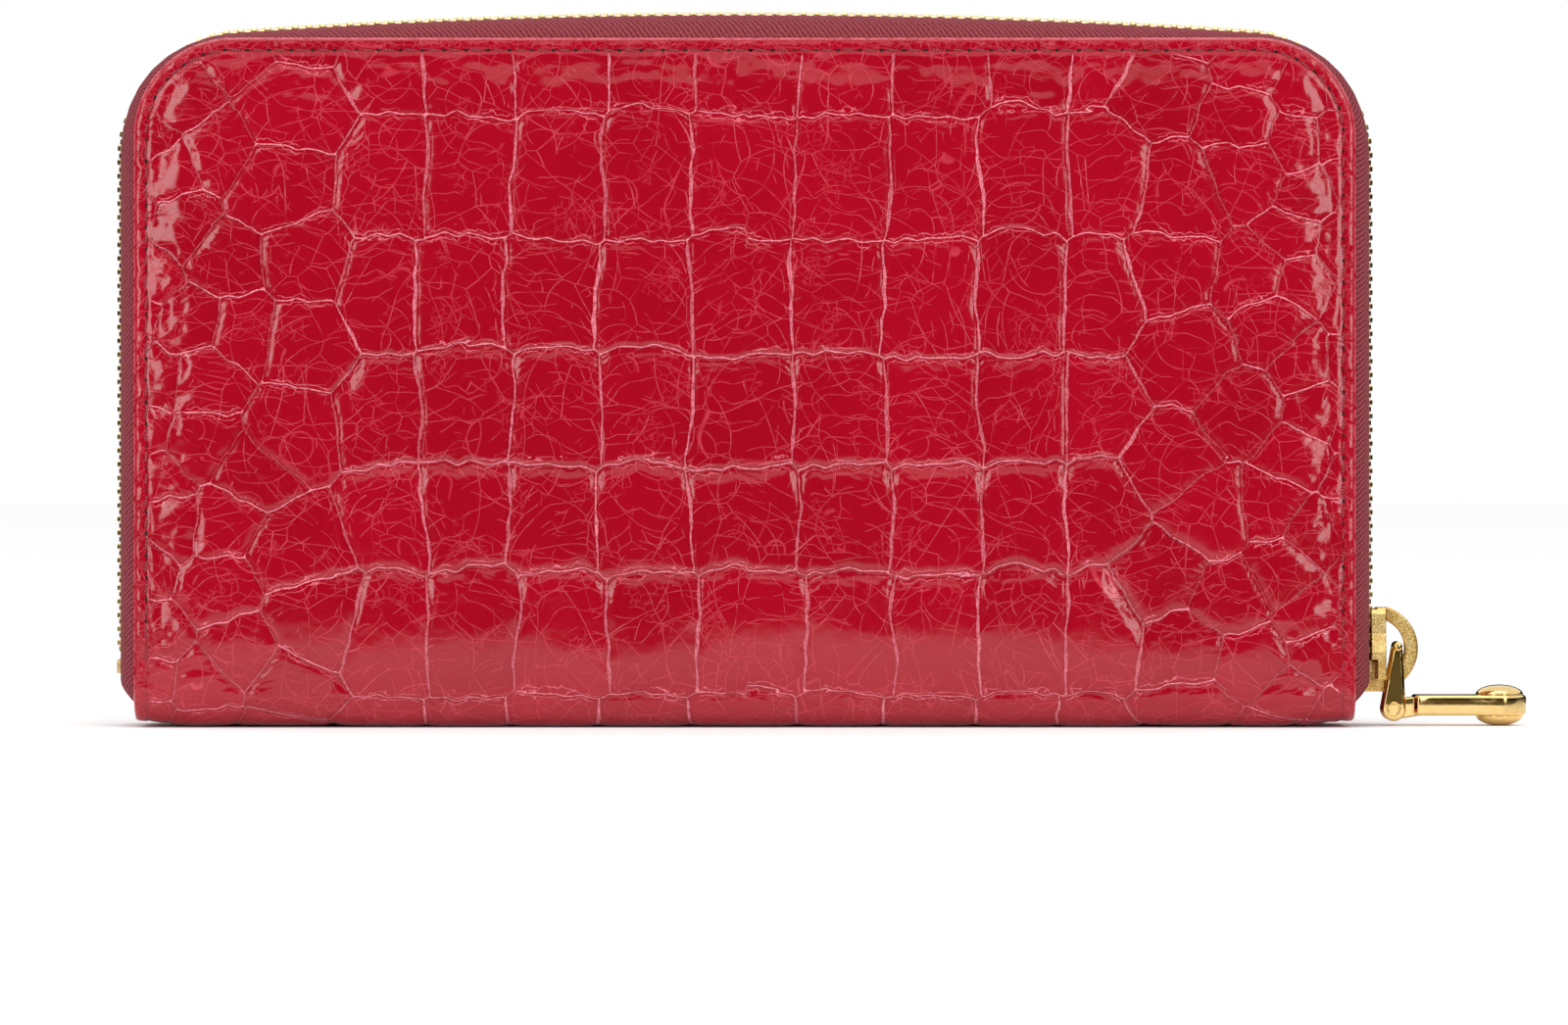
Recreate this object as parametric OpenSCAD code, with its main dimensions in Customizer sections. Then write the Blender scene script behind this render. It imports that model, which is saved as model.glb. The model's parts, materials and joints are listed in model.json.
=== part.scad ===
// Zip around wallet with a metal zip on three sides and a hanging pull.
// Origin: centre of the spine's underside. X is the width, the front cover faces -Y, +Z is up.
// Units are millimetres.

/* [Wallet] */
// Width of the covers
panel_w = 190; // [180:1:200]
// Height of the covers over the resting face
panel_h = 107.3; // [100:0.1:112]
// Thickness of the closed wallet over both covers
thick = 25; // [22:0.5:28]
// Radius of the covers' upper corners
corner_r = 15.5; // [12:0.5:18]
// Thickness of the outer leather
leather_t = 1.2; // [1:0.1:1.4]
// Outer radius of the spine's rounding
spine_r = 6; // [5:0.5:6.5]

/* [Zip] */
// Distance of the tape's middle plane from the centre, on the straight sides
zip_x = 97.2; // [96.5:0.1:98]
// Height of the tape's middle plane at the top of the arch
zip_top = 110.8; // [109:0.1:112]
// Rise of the arch along the top edge
zip_rise = 2.8; // [2:0.1:5]
// Radius of the tape's middle plane round the corners
zip_r = 19; // [17:0.5:20]
// Spacing of the teeth in one row
pitch = 2.15; // [2:0.05:2.4]
// Length of a tooth along the zip
tooth_l = 0.9; // [0.8:0.05:0.95]
// Thickness of the zip's tape
tape_t = 0.5; // [0.4:0.05:0.6]

/* [Inside] */
// Height of the coin pocket's walls
coin_top = 90.5; // [80:0.5:91]
// Half the coin pocket's outer thickness
coin_y = 3.4; // [3:0.1:3.5]
// Spacing of the coin zip's teeth in one row
coin_pitch = 2; // [1.8:0.1:2.4]

/* [Stitching] */
// Distance of the stitch line from the covers' edge
stitch_in = 2; // [1.8:0.1:3]
// Spacing of the stitches
stitch_pitch = 3.4; // [2.8:0.1:4]

/* [Sub-part] */
// One sub-part's name, or all

/* [Hidden] */
$fn = 64;
hw = panel_w / 2;
hy = thick / 2;
in_y = hy - leather_t;
fold_z = spine_r;
split_z = 20;
tooth_t = 2;
tooth_y = 2.9;
head_y = 0.6;
tape_y = 0.95;
slot_t = tape_t + 0.16;
span = 80;
arch_r = (span * span + zip_rise * zip_rise) / (2 * zip_rise);
arch_z = zip_top - arch_r;
cx = zip_x - zip_r;
cz = arch_z + sqrt((arch_r - zip_r) * (arch_r - zip_r) - cx * cx);
phi = atan2(cz - arch_z, cx);
len_a = cz - split_z;
len_b = zip_r * phi * PI / 180;
len_c = arch_r * (90 - phi) * PI / 180;
half_len = len_a + len_b + len_c;
full_len = 2 * half_len;
sew_in = 3.2;
sew_x = hw - sew_in;
sew_z = panel_h - sew_in;
sew_r = corner_r - sew_in;
sew_cx = hw - corner_r;
sew_cz = panel_h - corner_r;
inner_y = coin_y - 0.6;

leather_c = [0.62, 0.0, 0.03];
inner_c = [0.55, 0.03, 0.06];
cloth_c = [0.42, 0.12, 0.14];
gold_c = [0.9, 0.68, 0.3];
board_c = [0.7, 0.62, 0.5];
thread_c = [0.2, 0.02, 0.03];

// ---- shared shapes ----

// Box given by two opposite corners
module box(a, b) {
    translate(a)
        cube(b - a);
}

// Upright panel between two depths, with two round upper corners
module panel(w, z0, z1, r, y0, y1) {
    translate([0, y1, 0])
        rotate([90, 0, 0])
            linear_extrude(height = y1 - y0)
                union() {
                    translate([-w, z0])
                        square([2 * w, z1 - r - z0]);
                    translate([-(w - r), z1 - r - 0.01])
                        square([2 * (w - r), r + 0.01]);
                    translate([w - r, z1 - r])
                        circle(r);
                    translate([-(w - r), z1 - r])
                        circle(r);
                }
}

// Right half of the tape's middle line: x, z and the outward normal's angle at length s
function line_right(s) =
    s <= len_a ? [zip_x, split_z + s, 0]
    : s <= len_a + len_b ? arc_at((s - len_a) / zip_r * 180 / PI)
    : arch_at(phi + (s - len_a - len_b) / arch_r * 180 / PI);
function arc_at(a) = [cx + zip_r * cos(a), cz + zip_r * sin(a), a];
function arch_at(a) = [arch_r * cos(a), arch_z + arch_r * sin(a), a];
function flip_line(p) = [-p[0], p[1], 180 - p[2]];
function line_at(s) = s <= half_len ? line_right(s) : flip_line(line_right(full_len - s));

// The sewn edge that belongs to the same place on the tape
function sewn_right(s) =
    s <= len_a ? [sew_x, split_z + s * (sew_cz - split_z) / len_a]
    : s <= len_a + len_b ? sewn_arc((s - len_a) / len_b * 90)
    : [sew_cx * (half_len - s) / len_c, sew_z];
function sewn_arc(a) = [sew_cx + sew_r * cos(a), sew_cz + sew_r * sin(a)];
function sewn_at(s) = s <= half_len ? sewn_right(s)
    : [-sewn_right(full_len - s)[0], sewn_right(full_len - s)[1]];

// Section of the tape: depth, share of the way to the sewn edge, and the thickness direction
section = [[tape_y, 0, 1, 0], [5.2, 0, 1, 0], [6.8, 0.05, 0.95, 0.3], [8.3, 0.15, 0.8, 0.6],
    [9.5, 0.3, 0.6, 0.8], [10.5, 0.5, 0.3, 0.95], [11, 0.72, 0, 1], [11, 1, 0, 1]];

// One corner of the tape's skin; side is 1 for the outer face and -1 for the inner one
function skin(p, q, k, side) =
    let (n = [cos(p[2]), sin(p[2])], h = side * tape_t / 2)
    [p[0] + (q[0] - p[0]) * k[1] + h * k[2] * n[0],
     -(k[0] + h * k[3]),
     p[1] + (q[1] - p[1]) * k[1] + h * k[2] * n[1]];

// Closed strip between two grids of corners, m places long and c corners wide
function strip_faces(m, c) =
    let (b = m * c)
    concat(
        [for (i = [0 : m - 2], j = [0 : c - 2]) each [
            [i * c + j, i * c + j + 1, (i + 1) * c + j],
            [i * c + j + 1, (i + 1) * c + j + 1, (i + 1) * c + j],
            [b + i * c + j, b + (i + 1) * c + j, b + i * c + j + 1],
            [b + i * c + j + 1, b + (i + 1) * c + j, b + (i + 1) * c + j + 1]]],
        [for (i = [0 : m - 2]) each [
            [i * c, (i + 1) * c, b + i * c],
            [(i + 1) * c, b + (i + 1) * c, b + i * c],
            [i * c + c - 1, b + i * c + c - 1, (i + 1) * c + c - 1],
            [(i + 1) * c + c - 1, b + i * c + c - 1, b + (i + 1) * c + c - 1]]],
        [for (j = [0 : c - 2]) each [
            [j, b + j, j + 1],
            [j + 1, b + j, b + j + 1],
            [(m - 1) * c + j, (m - 1) * c + j + 1, b + (m - 1) * c + j],
            [(m - 1) * c + j + 1, b + (m - 1) * c + j + 1, b + (m - 1) * c + j]]]);

module strip(outer, inner, m, c) {
    polyhedron(points = concat(outer, inner), faces = strip_faces(m, c), convexity = 10);
}

// Lengths along the zip at which the tape's skin has a row of corners
places = concat([0, len_a / 2], [for (i = [0 : 14]) len_a + len_b * i / 14],
    [for (i = [1 : 10]) len_a + len_b + len_c * i / 10]);
back_places = [for (i = [len(places) - 2 : -1 : 0]) full_len - places[i]];
all_places = concat(places, back_places);

module half_tape() {
    outer = [for (s = all_places, k = section) skin(line_at(s), sewn_at(s), k, 1)];
    inner = [for (s = all_places, k = section) skin(line_at(s), sewn_at(s), k, -1)];
    strip(outer, inner, len(all_places), len(section));
}

// Lower end of a tape, which narrows to the cover's edge below the stop
end_rows = [[3, 0.55], [4.2, 0.28], [5.6, 0.08], [7, 0], [10.7, 0], [11, 0], [19.9, 0]];
function end_inner_y(z) = z > 10.8 ? tape_y : 1.35;
// Depth that stays clear of the spine's rounded inner corner
function end_depth(z) = z >= fold_z ? in_y
    : in_y - spine_r + leather_t + sqrt(pow(spine_r - leather_t, 2) - pow(fold_z - z, 2)) - 0.55;
function end_k(k, z, c) = [k[0] < 1 ? end_inner_y(z) : min(k[0], end_depth(z)),
    max(k[1], c * (1 - k[1]) + k[1]), k[2], k[3]];
module tape_end() {
    outer = [for (r = end_rows, k = section) skin([zip_x, r[0], 0], [sew_x, r[0]], end_k(k, r[0], r[1]), 1)];
    inner = [for (r = end_rows, k = section) skin([zip_x, r[0], 0], [sew_x, r[0]], end_k(k, r[0], r[1]), -1)];
    strip(outer, inner, len(end_rows), len(section));
}

// Section of one tooth, seen along the zip: jaws on the tape and a head past the middle
module tooth_section(head) {
    difference() {
        translate([-tooth_t / 2, -tooth_y])
            square([tooth_t, tooth_y + head]);
        translate([-slot_t / 2, -tooth_y - 1])
            square([slot_t, tooth_y + 1 - (tape_y - 0.05)]);
    }
}

module tooth(p, head, length) {
    translate([p[0], 0, p[1]])
        rotate([0, -p[2], 0])
            translate([0, 0, -length / 2])
                linear_extrude(height = length)
                    tooth_section(head);
}

tooth_count = round(full_len / pitch);
tooth_gap = full_len / tooth_count;
tooth_from = 0.55;
module teeth_row(shift) {
    for (i = [0 : tooth_count - 1])
        tooth(line_at(tooth_gap * (i + shift) + tooth_from), head_y, tooth_l);
}

end_count = 4;
module teeth_end_row(shift) {
    for (i = [0 : end_count - 1]) {
        tooth([zip_x, split_z - tooth_gap * (i + 1 - shift) + tooth_from - 0.1, 0], head_y, tooth_l);
        tooth([-zip_x, split_z - tooth_gap * (i + shift) - tooth_from, 180], head_y, tooth_l);
    }
}

// Stitches along an inset line of the cover
st_x = hw - stitch_in;
st_z = panel_h - stitch_in;
st_r = corner_r - stitch_in;
st_a = sew_cz - 8;
st_b = st_r * PI / 2;
st_c = sew_cx;
st_half = st_a + st_b + st_c;
function st_right(s) =
    s <= st_a ? [st_x, 8 + s, 90]
    : s <= st_a + st_b ? st_arc((s - st_a) / st_b * 90)
    : [st_c - (s - st_a - st_b), st_z, 180];
function st_arc(a) = [sew_cx + st_r * cos(a), sew_cz + st_r * sin(a), a + 90];
function st_at(s) = s <= st_half ? st_right(s)
    : [-st_right(2 * st_half - s)[0], st_right(2 * st_half - s)[1], 180 - st_right(2 * st_half - s)[2]];
st_count = floor(2 * st_half / stitch_pitch);
module stitches() {
    for (i = [0 : st_count - 1]) {
        p = st_at(stitch_pitch * (i + 0.5));
        translate([p[0], -hy, p[1]])
            rotate([0, -p[2], 0])
                box([-1.2, -0.2, -0.18], [1.2, 0, 0.18]);
    }
}

// One tier of two card slots side by side, open at the top
module cards(y0, z0, z1) {
    difference() {
        box([-86, y0, z0], [86, y0 + 0.6, z1]);
        box([-84.5, y0 - 0.1, z1 - 52], [-1, y0 + 0.2, z1 + 1]);
        box([1, y0 - 0.1, z1 - 52], [84.5, y0 + 0.2, z1 + 1]);
    }
}

module slip_pocket(y0) {
    difference() {
        box([-88, y0, 7], [88, y0 + 0.6, 99]);
        box([-86, y0 - 0.1, 9], [86, y0 + 0.2, 100]);
    }
}

// Folded side gusset, from a cover's lining to the coin pocket's wall
module gusset() {
    translate([0, 0, 8])
        linear_extrude(height = 82)
            polygon([[89.8, -10.28], [89.8, -7.6], [81.6, -5.75], [86.0, -3.72], [86.0, -3.42],
                [84.6, -3.42], [84.6, -3.72], [85.3, -3.72], [80.4, -5.75], [89.5, -7.85], [89.5, -10.28]]);
}

module coin_tooth_section() {
    difference() {
        translate([-2, -0.7])
            square([2.4, 1.4]);
        translate([-3, -0.21])
            square([2.4, 0.42]);
    }
}

coin_count = 78;
module coin_teeth(shift) {
    for (i = [0 : coin_count - 1])
        translate([-78.5 + coin_pitch * (i + shift), 0, 89])
            rotate([0, 90, 0])
                translate([0, 0, -0.4])
                    linear_extrude(height = 0.8)
                        rotate(90)
                            coin_tooth_section();
}

// ---- outer leather ----
module cover_front() {
    color(leather_c)
        panel(hw, fold_z, panel_h, corner_r, -hy, -in_y);
}
module cover_back() {
    color(leather_c)
        panel(hw, fold_z, panel_h, corner_r, in_y, hy);
}
// Lower half of a round-cornered channel section
module channel(y, r) {
    intersection() {
        union() {
            translate([-(y - r), 0])
                circle(r);
            translate([y - r, 0])
                circle(r);
            translate([-(y - r), -r])
                square([2 * (y - r), r]);
        }
        translate([-20, -20])
            square([40, 20]);
    }
}
module spine_leather() {
    color(leather_c)
        translate([-hw, 0, fold_z])
            rotate([90, 0, 90])
                linear_extrude(height = panel_w)
                    difference() {
                        channel(hy, spine_r);
                        channel(in_y, spine_r - leather_t);
                    }
}
module stitch_front() {
    color(thread_c)
        stitches();
}
module stitch_back() {
    color(thread_c)
        mirror([0, 1, 0])
            stitches();
}

// ---- stiffeners and linings ----
module board_front() {
    color(board_c)
        panel(hw - 4, 6.6, panel_h - 4, corner_r - 4, -in_y, -in_y + 0.6);
}
module board_back() {
    color(board_c)
        panel(hw - 4, 6.6, panel_h - 4, corner_r - 4, in_y - 0.6, in_y);
}
module spine_board() {
    color(board_c)
        box([-91, -6.4, leather_t], [91, 6.4, leather_t + 0.7]);
}
module lining_front() {
    color(inner_c)
        panel(hw - 3.6, 6.6, panel_h - 3.6, corner_r - 3.6, -in_y + 0.6, -in_y + 1);
}
module lining_back() {
    color(inner_c)
        panel(hw - 3.6, 6.6, panel_h - 3.6, corner_r - 3.6, in_y - 1, in_y - 0.6);
}
module spine_lining() {
    color(inner_c)
        box([-91.4, -8.4, leather_t + 0.7], [91.4, 8.4, leather_t + 1.1]);
}

// ---- main zip ----
module tape_front() {
    color(cloth_c)
        half_tape();
}
module tape_back() {
    color(cloth_c)
        mirror([0, 1, 0])
            half_tape();
}
module tape_end_front() {
    color(cloth_c) {
        tape_end();
        mirror([1, 0, 0])
            tape_end();
    }
}
module tape_end_back() {
    color(cloth_c)
        mirror([0, 1, 0]) {
            tape_end();
            mirror([1, 0, 0])
                tape_end();
        }
}
module teeth_front() {
    color(gold_c)
        teeth_row(0);
}
module teeth_back() {
    color(gold_c)
        mirror([0, 1, 0])
            teeth_row(0.5);
}
module teeth_end_front() {
    color(gold_c)
        teeth_end_row(0);
}
module teeth_end_back() {
    color(gold_c)
        mirror([0, 1, 0])
            teeth_end_row(0.5);
}
// A stop is a pair of jaws on one tape; the other end has one stop across both tapes
module half_stop() {
    difference() {
        box([zip_x - 1, -3, 8.6], [zip_x + 1, -0.95, 10.3]);
        box([zip_x - slot_t / 2, -4, 8], [zip_x + slot_t / 2, -1.3, 11]);
    }
}
module zip_stops() {
    color(gold_c) {
        half_stop();
        mirror([0, 1, 0])
            half_stop();
        difference() {
            box([-zip_x - 1, -3, 8.2], [-zip_x + 1, 3, 10.4]);
            box([-zip_x - slot_t / 2, -4, 8], [-zip_x + slot_t / 2, -1.3, 11]);
            box([-zip_x - slot_t / 2, 1.3, 8], [-zip_x + slot_t / 2, 4, 11]);
        }
    }
}

// ---- slider and pull ----
module plate_shape() {
    polygon([[-4.7, 7.3], [4.7, 7.3], [4.7, 11.6], [3.9, 14.5], [3.9, 17.6], [3, 18.5], [-3, 18.5],
        [-3.9, 17.6], [-3.9, 14.5], [-4.7, 11.6]]);
}
module plate(x0, x1) {
    translate([x0, 0, 0])
        rotate([90, 0, 90])
            linear_extrude(height = x1 - x0)
                plate_shape();
}
module flange(x0, x1, s) {
    translate([x0, 0, 0])
        rotate([90, 0, 90])
            linear_extrude(height = x1 - x0)
                polygon([[s * 4.7, 10.4], [s * 4.7, 11.6], [s * 3.9, 14.5], [s * 3.9, 17.6], [s * 3.2, 18.3],
                    [s * 3.2, 13.6], [s * 4, 10.4]]);
}
module slider_body() {
    color(gold_c)
        union() {
            plate(98.8, 100.2);
            plate(94.2, 95.6);
            flange(97.85, 99, 1);
            flange(97.85, 99, -1);
            flange(95.4, 96.55, 1);
            flange(95.4, 96.55, -1);
            box([94.2, -0.85, 5.3], [100.2, 0.85, 7.7]);
            box([95.5, -0.85, 7.5], [98.9, 0.85, 10]);
        }
}
module slider_bridge() {
    color(gold_c)
        translate([0, 1.2, 0])
            rotate([90, 0, 0])
                linear_extrude(height = 2.4)
                    difference() {
                        intersection() {
                            translate([98.6, 12.05])
                                circle(6.8);
                            translate([100.2, 0])
                                square([8, 30]);
                        }
                        translate([98.6, 12.05])
                            circle(4.7);
                    }
}
sh_x = 102.15;
sh_z = 12.4;
pin_x = 101.5;
pin_z = 2.6;
sh_len = sqrt((sh_x - pin_x) * (sh_x - pin_x) + (sh_z - pin_z) * (sh_z - pin_z));
sh_tilt = atan2(sh_x - pin_x, sh_z - pin_z);
ear_top = 0.75;
ear_low = 1.9;
// Tapered blade whose sides touch both end circles
ear_a = asin((ear_low - ear_top) / sh_len);
module ear_shape() {
    difference() {
        union() {
            circle(ear_low);
            translate([0, sh_len])
                circle(ear_top);
            polygon([[-ear_low * cos(ear_a), ear_low * sin(ear_a)],
                [ear_low * cos(ear_a), ear_low * sin(ear_a)],
                [ear_top * cos(ear_a), sh_len + ear_top * sin(ear_a)],
                [-ear_top * cos(ear_a), sh_len + ear_top * sin(ear_a)]]);
        }
        circle(0.8);
    }
}
module ear(y) {
    translate([pin_x, y + 1, pin_z])
        rotate([0, sh_tilt, 0])
            rotate([90, 0, 0])
                linear_extrude(height = 1)
                    ear_shape();
}
module shackle() {
    color(gold_c)
        union() {
            ear(-2.6);
            ear(1.6);
            translate([sh_x, 2, sh_z])
                rotate([90, 0, 0])
                    cylinder(h = 4, r = ear_top);
        }
}
module shackle_pin() {
    color(gold_c)
        translate([pin_x, 2.6, pin_z])
            rotate([90, 0, 0])
                cylinder(h = 5.2, r = 0.78);
}
bar_z0 = 1.6;
bar_z1 = 4.8;
stud_x = 118.2;
stud_z = 3.2;
ring_r = 4.2;
stud_r = 3.3;
// Long side of the bar seen from above, with a slight waist
bar_side = [[104.6, 3.5], [107, 3.25], [110, 3.05], [113, 3.15], [115.5, 3.6], [stud_x, ring_r]];
module pull_bar() {
    color(gold_c)
        difference() {
            union() {
                translate([pin_x, 1.3, pin_z])
                    rotate([90, 0, 0])
                        cylinder(h = 2.6, r = 1.6);
                box([pin_x, -1.3, 1.6], [104.8, 1.3, 4.1]);
                translate([0, 0, bar_z0])
                    linear_extrude(height = bar_z1 - bar_z0)
                        polygon(concat(bar_side, [for (i = [len(bar_side) - 1 : -1 : 0])
                            [bar_side[i][0], -bar_side[i][1]]]));
                translate([stud_x, 0, bar_z0])
                    cylinder(h = bar_z1 - bar_z0, r = ring_r);
            }
            translate([pin_x, 2, pin_z])
                rotate([90, 0, 0])
                    cylinder(h = 4, r = 0.83);
            translate([stud_x, 0, 0])
                cylinder(h = 8, r = stud_r);
        }
}
cap_h = 1.6;
cap_r = 3.76;
dome_r = (cap_r * cap_r + cap_h * cap_h) / (2 * cap_h);
module dome() {
    intersection() {
        translate([0, 0, cap_h - dome_r])
            sphere(dome_r);
        cylinder(h = 5, r = cap_r);
    }
}
module pull_stud() {
    color(gold_c)
        translate([stud_x, 0, stud_z])
            union() {
                translate([0, 0, -1.6])
                    cylinder(h = 3.2, r = stud_r - 0.02);
                translate([0, 0, 1.6])
                    dome();
                mirror([0, 0, 1])
                    translate([0, 0, 1.6])
                        dome();
            }
}

// ---- inside ----
module pocket_front() {
    color(inner_c)
        slip_pocket(-10.3);
}
module pocket_back() {
    color(inner_c)
        mirror([0, 1, 0])
            slip_pocket(-10.3);
}
module cards_front_1() {
    color(inner_c)
        cards(-8.5, 8, 62);
}
module cards_front_2() {
    color(inner_c)
        cards(-9.1, 8, 76);
}
module cards_front_3() {
    color(inner_c)
        cards(-9.7, 8, 90);
}
module cards_back_1() {
    color(inner_c)
        mirror([0, 1, 0])
            cards(-8.5, 8, 62);
}
module cards_back_2() {
    color(inner_c)
        mirror([0, 1, 0])
            cards(-9.1, 8, 76);
}
module cards_back_3() {
    color(inner_c)
        mirror([0, 1, 0])
            cards(-9.7, 8, 90);
}
module coin_wall_front() {
    color(inner_c)
        box([-86, -coin_y, 2.3], [86, -inner_y, coin_top]);
}
module coin_wall_back() {
    color(inner_c)
        box([-86, inner_y, 2.3], [86, coin_y, coin_top]);
}
module coin_gusset() {
    color(inner_c)
        difference() {
            box([-86, -inner_y, 2.3], [86, inner_y, 88]);
            box([-85.5, -4, 2.8], [85.5, 4, 89]);
        }
}
module coin_tape_front() {
    color(cloth_c)
        box([-84, -inner_y, 88.85], [84, -0.65, 89.15]);
}
module coin_tape_back() {
    color(cloth_c)
        box([-84, 0.65, 88.85], [84, inner_y, 89.15]);
}
module coin_teeth_front() {
    color(gold_c)
        coin_teeth(0);
}
module coin_teeth_back() {
    color(gold_c)
        mirror([0, 1, 0])
            coin_teeth(0.5);
}
module coin_stop(x) {
    difference() {
        box([x, -2, 88.3], [x + 1.4, 2, 89.7]);
        box([x - 1, -3, 88.79], [x + 3, -0.6, 89.21]);
        box([x - 1, 0.6, 88.79], [x + 3, 3, 89.21]);
    }
}
module coin_stops() {
    color(gold_c) {
        coin_stop(-81.4);
        coin_stop(81.2);
    }
}
module coin_slider_body() {
    color(gold_c)
        union() {
            box([73.5, -2.3, 90], [80.5, 2.3, 90.8]);
            box([73.5, -2.3, 87.2], [80.5, 2.3, 88]);
            box([73.5, -2.4, 89.45], [79, -2.1, 90.8]);
            box([73.5, 2.1, 89.45], [79, 2.4, 90.8]);
            box([73.5, -2.4, 87.2], [79, -2.1, 88.55]);
            box([73.5, 2.1, 87.2], [79, 2.4, 88.55]);
            box([79.2, -0.5, 87.9], [80.5, 0.5, 90.1]);
        }
}
module coin_slider_bridge() {
    color(gold_c)
        translate([0, 0.6, 0])
            rotate([90, 0, 0])
                linear_extrude(height = 1.2)
                    difference() {
                        intersection() {
                            translate([77, 89.9])
                                circle(3.2);
                            translate([70, 90.8])
                                square([14, 8]);
                        }
                        translate([77, 89.9])
                            circle(2.1);
                    }
}
module coin_pull() {
    color(gold_c)
        union() {
            difference() {
                box([65, -1.7, 91], [77, 1.7, 91.8]);
                box([73.3, -1, 90], [78, 1, 93]);
            }
            translate([77, 1.7, 91.4])
                rotate([90, 0, 0])
                    cylinder(h = 3.4, r = 0.4);
        }
}
module gusset_front_right() {
    color(inner_c)
        gusset();
}
module gusset_front_left() {
    color(inner_c)
        mirror([1, 0, 0])
            gusset();
}
module gusset_back_right() {
    color(inner_c)
        mirror([0, 1, 0])
            gusset();
}
module gusset_back_left() {
    color(inner_c)
        mirror([1, 0, 0])
            mirror([0, 1, 0])
                gusset();
}

cover_front();
cover_back();
spine_leather();
stitch_front();
stitch_back();
board_front();
board_back();
spine_board();
lining_front();
lining_back();
spine_lining();
tape_front();
tape_back();
tape_end_front();
tape_end_back();
teeth_front();
teeth_back();
teeth_end_front();
teeth_end_back();
zip_stops();
slider_body();
slider_bridge();
shackle();
shackle_pin();
pull_bar();
pull_stud();
pocket_front();
pocket_back();
cards_front_1();
cards_front_2();
cards_front_3();
cards_back_1();
cards_back_2();
cards_back_3();
coin_wall_front();
coin_wall_back();
coin_gusset();
coin_tape_front();
coin_tape_back();
coin_teeth_front();
coin_teeth_back();
coin_stops();
coin_slider_body();
coin_slider_bridge();
coin_pull();
gusset_front_left();
gusset_front_right();
gusset_back_left();
gusset_back_right();
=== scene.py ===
import json
import math
from functools import reduce

import bmesh
import bpy
import numpy as np
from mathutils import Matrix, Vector


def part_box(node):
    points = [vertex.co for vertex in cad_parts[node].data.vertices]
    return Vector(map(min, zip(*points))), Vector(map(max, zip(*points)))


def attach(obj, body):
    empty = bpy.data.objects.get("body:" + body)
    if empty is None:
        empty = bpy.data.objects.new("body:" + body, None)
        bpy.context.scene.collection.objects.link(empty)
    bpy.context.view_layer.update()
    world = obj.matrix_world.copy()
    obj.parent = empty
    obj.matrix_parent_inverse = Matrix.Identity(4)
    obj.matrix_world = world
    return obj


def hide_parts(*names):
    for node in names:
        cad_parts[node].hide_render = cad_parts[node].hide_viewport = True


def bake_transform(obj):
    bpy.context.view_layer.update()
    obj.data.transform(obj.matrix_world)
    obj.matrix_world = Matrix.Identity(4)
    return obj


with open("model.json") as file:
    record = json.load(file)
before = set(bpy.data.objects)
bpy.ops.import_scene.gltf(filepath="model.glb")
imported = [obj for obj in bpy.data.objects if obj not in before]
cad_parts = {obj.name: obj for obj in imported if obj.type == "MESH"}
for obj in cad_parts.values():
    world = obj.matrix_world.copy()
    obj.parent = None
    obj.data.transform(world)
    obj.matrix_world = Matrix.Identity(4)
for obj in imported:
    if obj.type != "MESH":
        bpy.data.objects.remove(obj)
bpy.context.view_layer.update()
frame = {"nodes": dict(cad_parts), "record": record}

MM = 0.001


def box_mm(node):
    lo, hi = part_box(node)
    return [v / MM for v in lo], [v / MM for v in hi]


# ---- sizes in millimetres, from the frame wherever it holds them ----
cover_lo, cover_hi = box_mm("cover_front")
HALF_W = cover_hi[0]
TOP = cover_hi[2]
HALF_Y = -cover_lo[1]
FOLD_Z = cover_lo[2]  # the cover ends here, and the leather turns under
THICK = cover_hi[1] - cover_lo[1]
CORNER_R = 15.5
CORNER_X = HALF_W - CORNER_R
CORNER_Z = TOP - CORNER_R
RIM = THICK / 2
STITCH_IN = 2.0
STITCH_PITCH = 3.4

# line of the zip, as in the solids: straight sides, a corner arc and a low arch on top
ZIP_X = HALF_W + 2.2
ZIP_R = 19.0
ZIP_TOP = TOP + 3.5
ZIP_RISE = 2.8
ZIP_SPAN = 80.0
SPLIT_Z = 20.0
PITCH = 2.15
TAPE_T = 0.5
ARCH_R = (ZIP_SPAN ** 2 + ZIP_RISE ** 2) / (2 * ZIP_RISE)
ARCH_Z = ZIP_TOP - ARCH_R
ARC_CX = ZIP_X - ZIP_R
PHI = math.acos(ARC_CX / (ARCH_R - ZIP_R))
ARC_CZ = ARCH_Z + (ARCH_R - ZIP_R) * math.sin(PHI)
LEN_A = ARC_CZ - SPLIT_Z
LEN_B = ZIP_R * PHI
LEN_C = ARCH_R * (math.pi / 2 - PHI)
HALF_LEN = LEN_A + LEN_B + LEN_C
FULL_LEN = 2 * HALF_LEN
SEW_IN = 3.2  # from the cover's edge to the tape's sewn edge
SEW_X = HALF_W - SEW_IN
SEW_Z = TOP - SEW_IN
SEW_R = CORNER_R - SEW_IN
TEETH_COUNT = round(FULL_LEN / PITCH)
TOOTH_GAP = FULL_LEN / TEETH_COUNT
TEETH_START = 0.55
TURN_IN = 0.5  # how much closer the cloth lies to the covers where it turns the corners


# ---- small tools ----
def link(obj):
    bpy.context.scene.collection.objects.link(obj)
    return obj


def mesh_piece(name, verts, faces, material, smooth=True):
    """A mesh object from points in millimetres."""
    mesh = bpy.data.meshes.new(name)
    mesh.from_pydata((np.asarray(verts, dtype=float) * MM).tolist(), [], [list(map(int, f)) for f in faces])
    mesh.update()
    if smooth:
        mesh.shade_smooth()
    obj = link(bpy.data.objects.new(name, mesh))
    obj.data.materials.append(material)
    return obj


def outward(obj):
    """Turns every face of a closed mesh outward."""
    bm = bmesh.new()
    bm.from_mesh(obj.data)
    bmesh.ops.recalc_face_normals(bm, faces=bm.faces)
    bm.to_mesh(obj.data)
    bm.free()
    return obj


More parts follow.
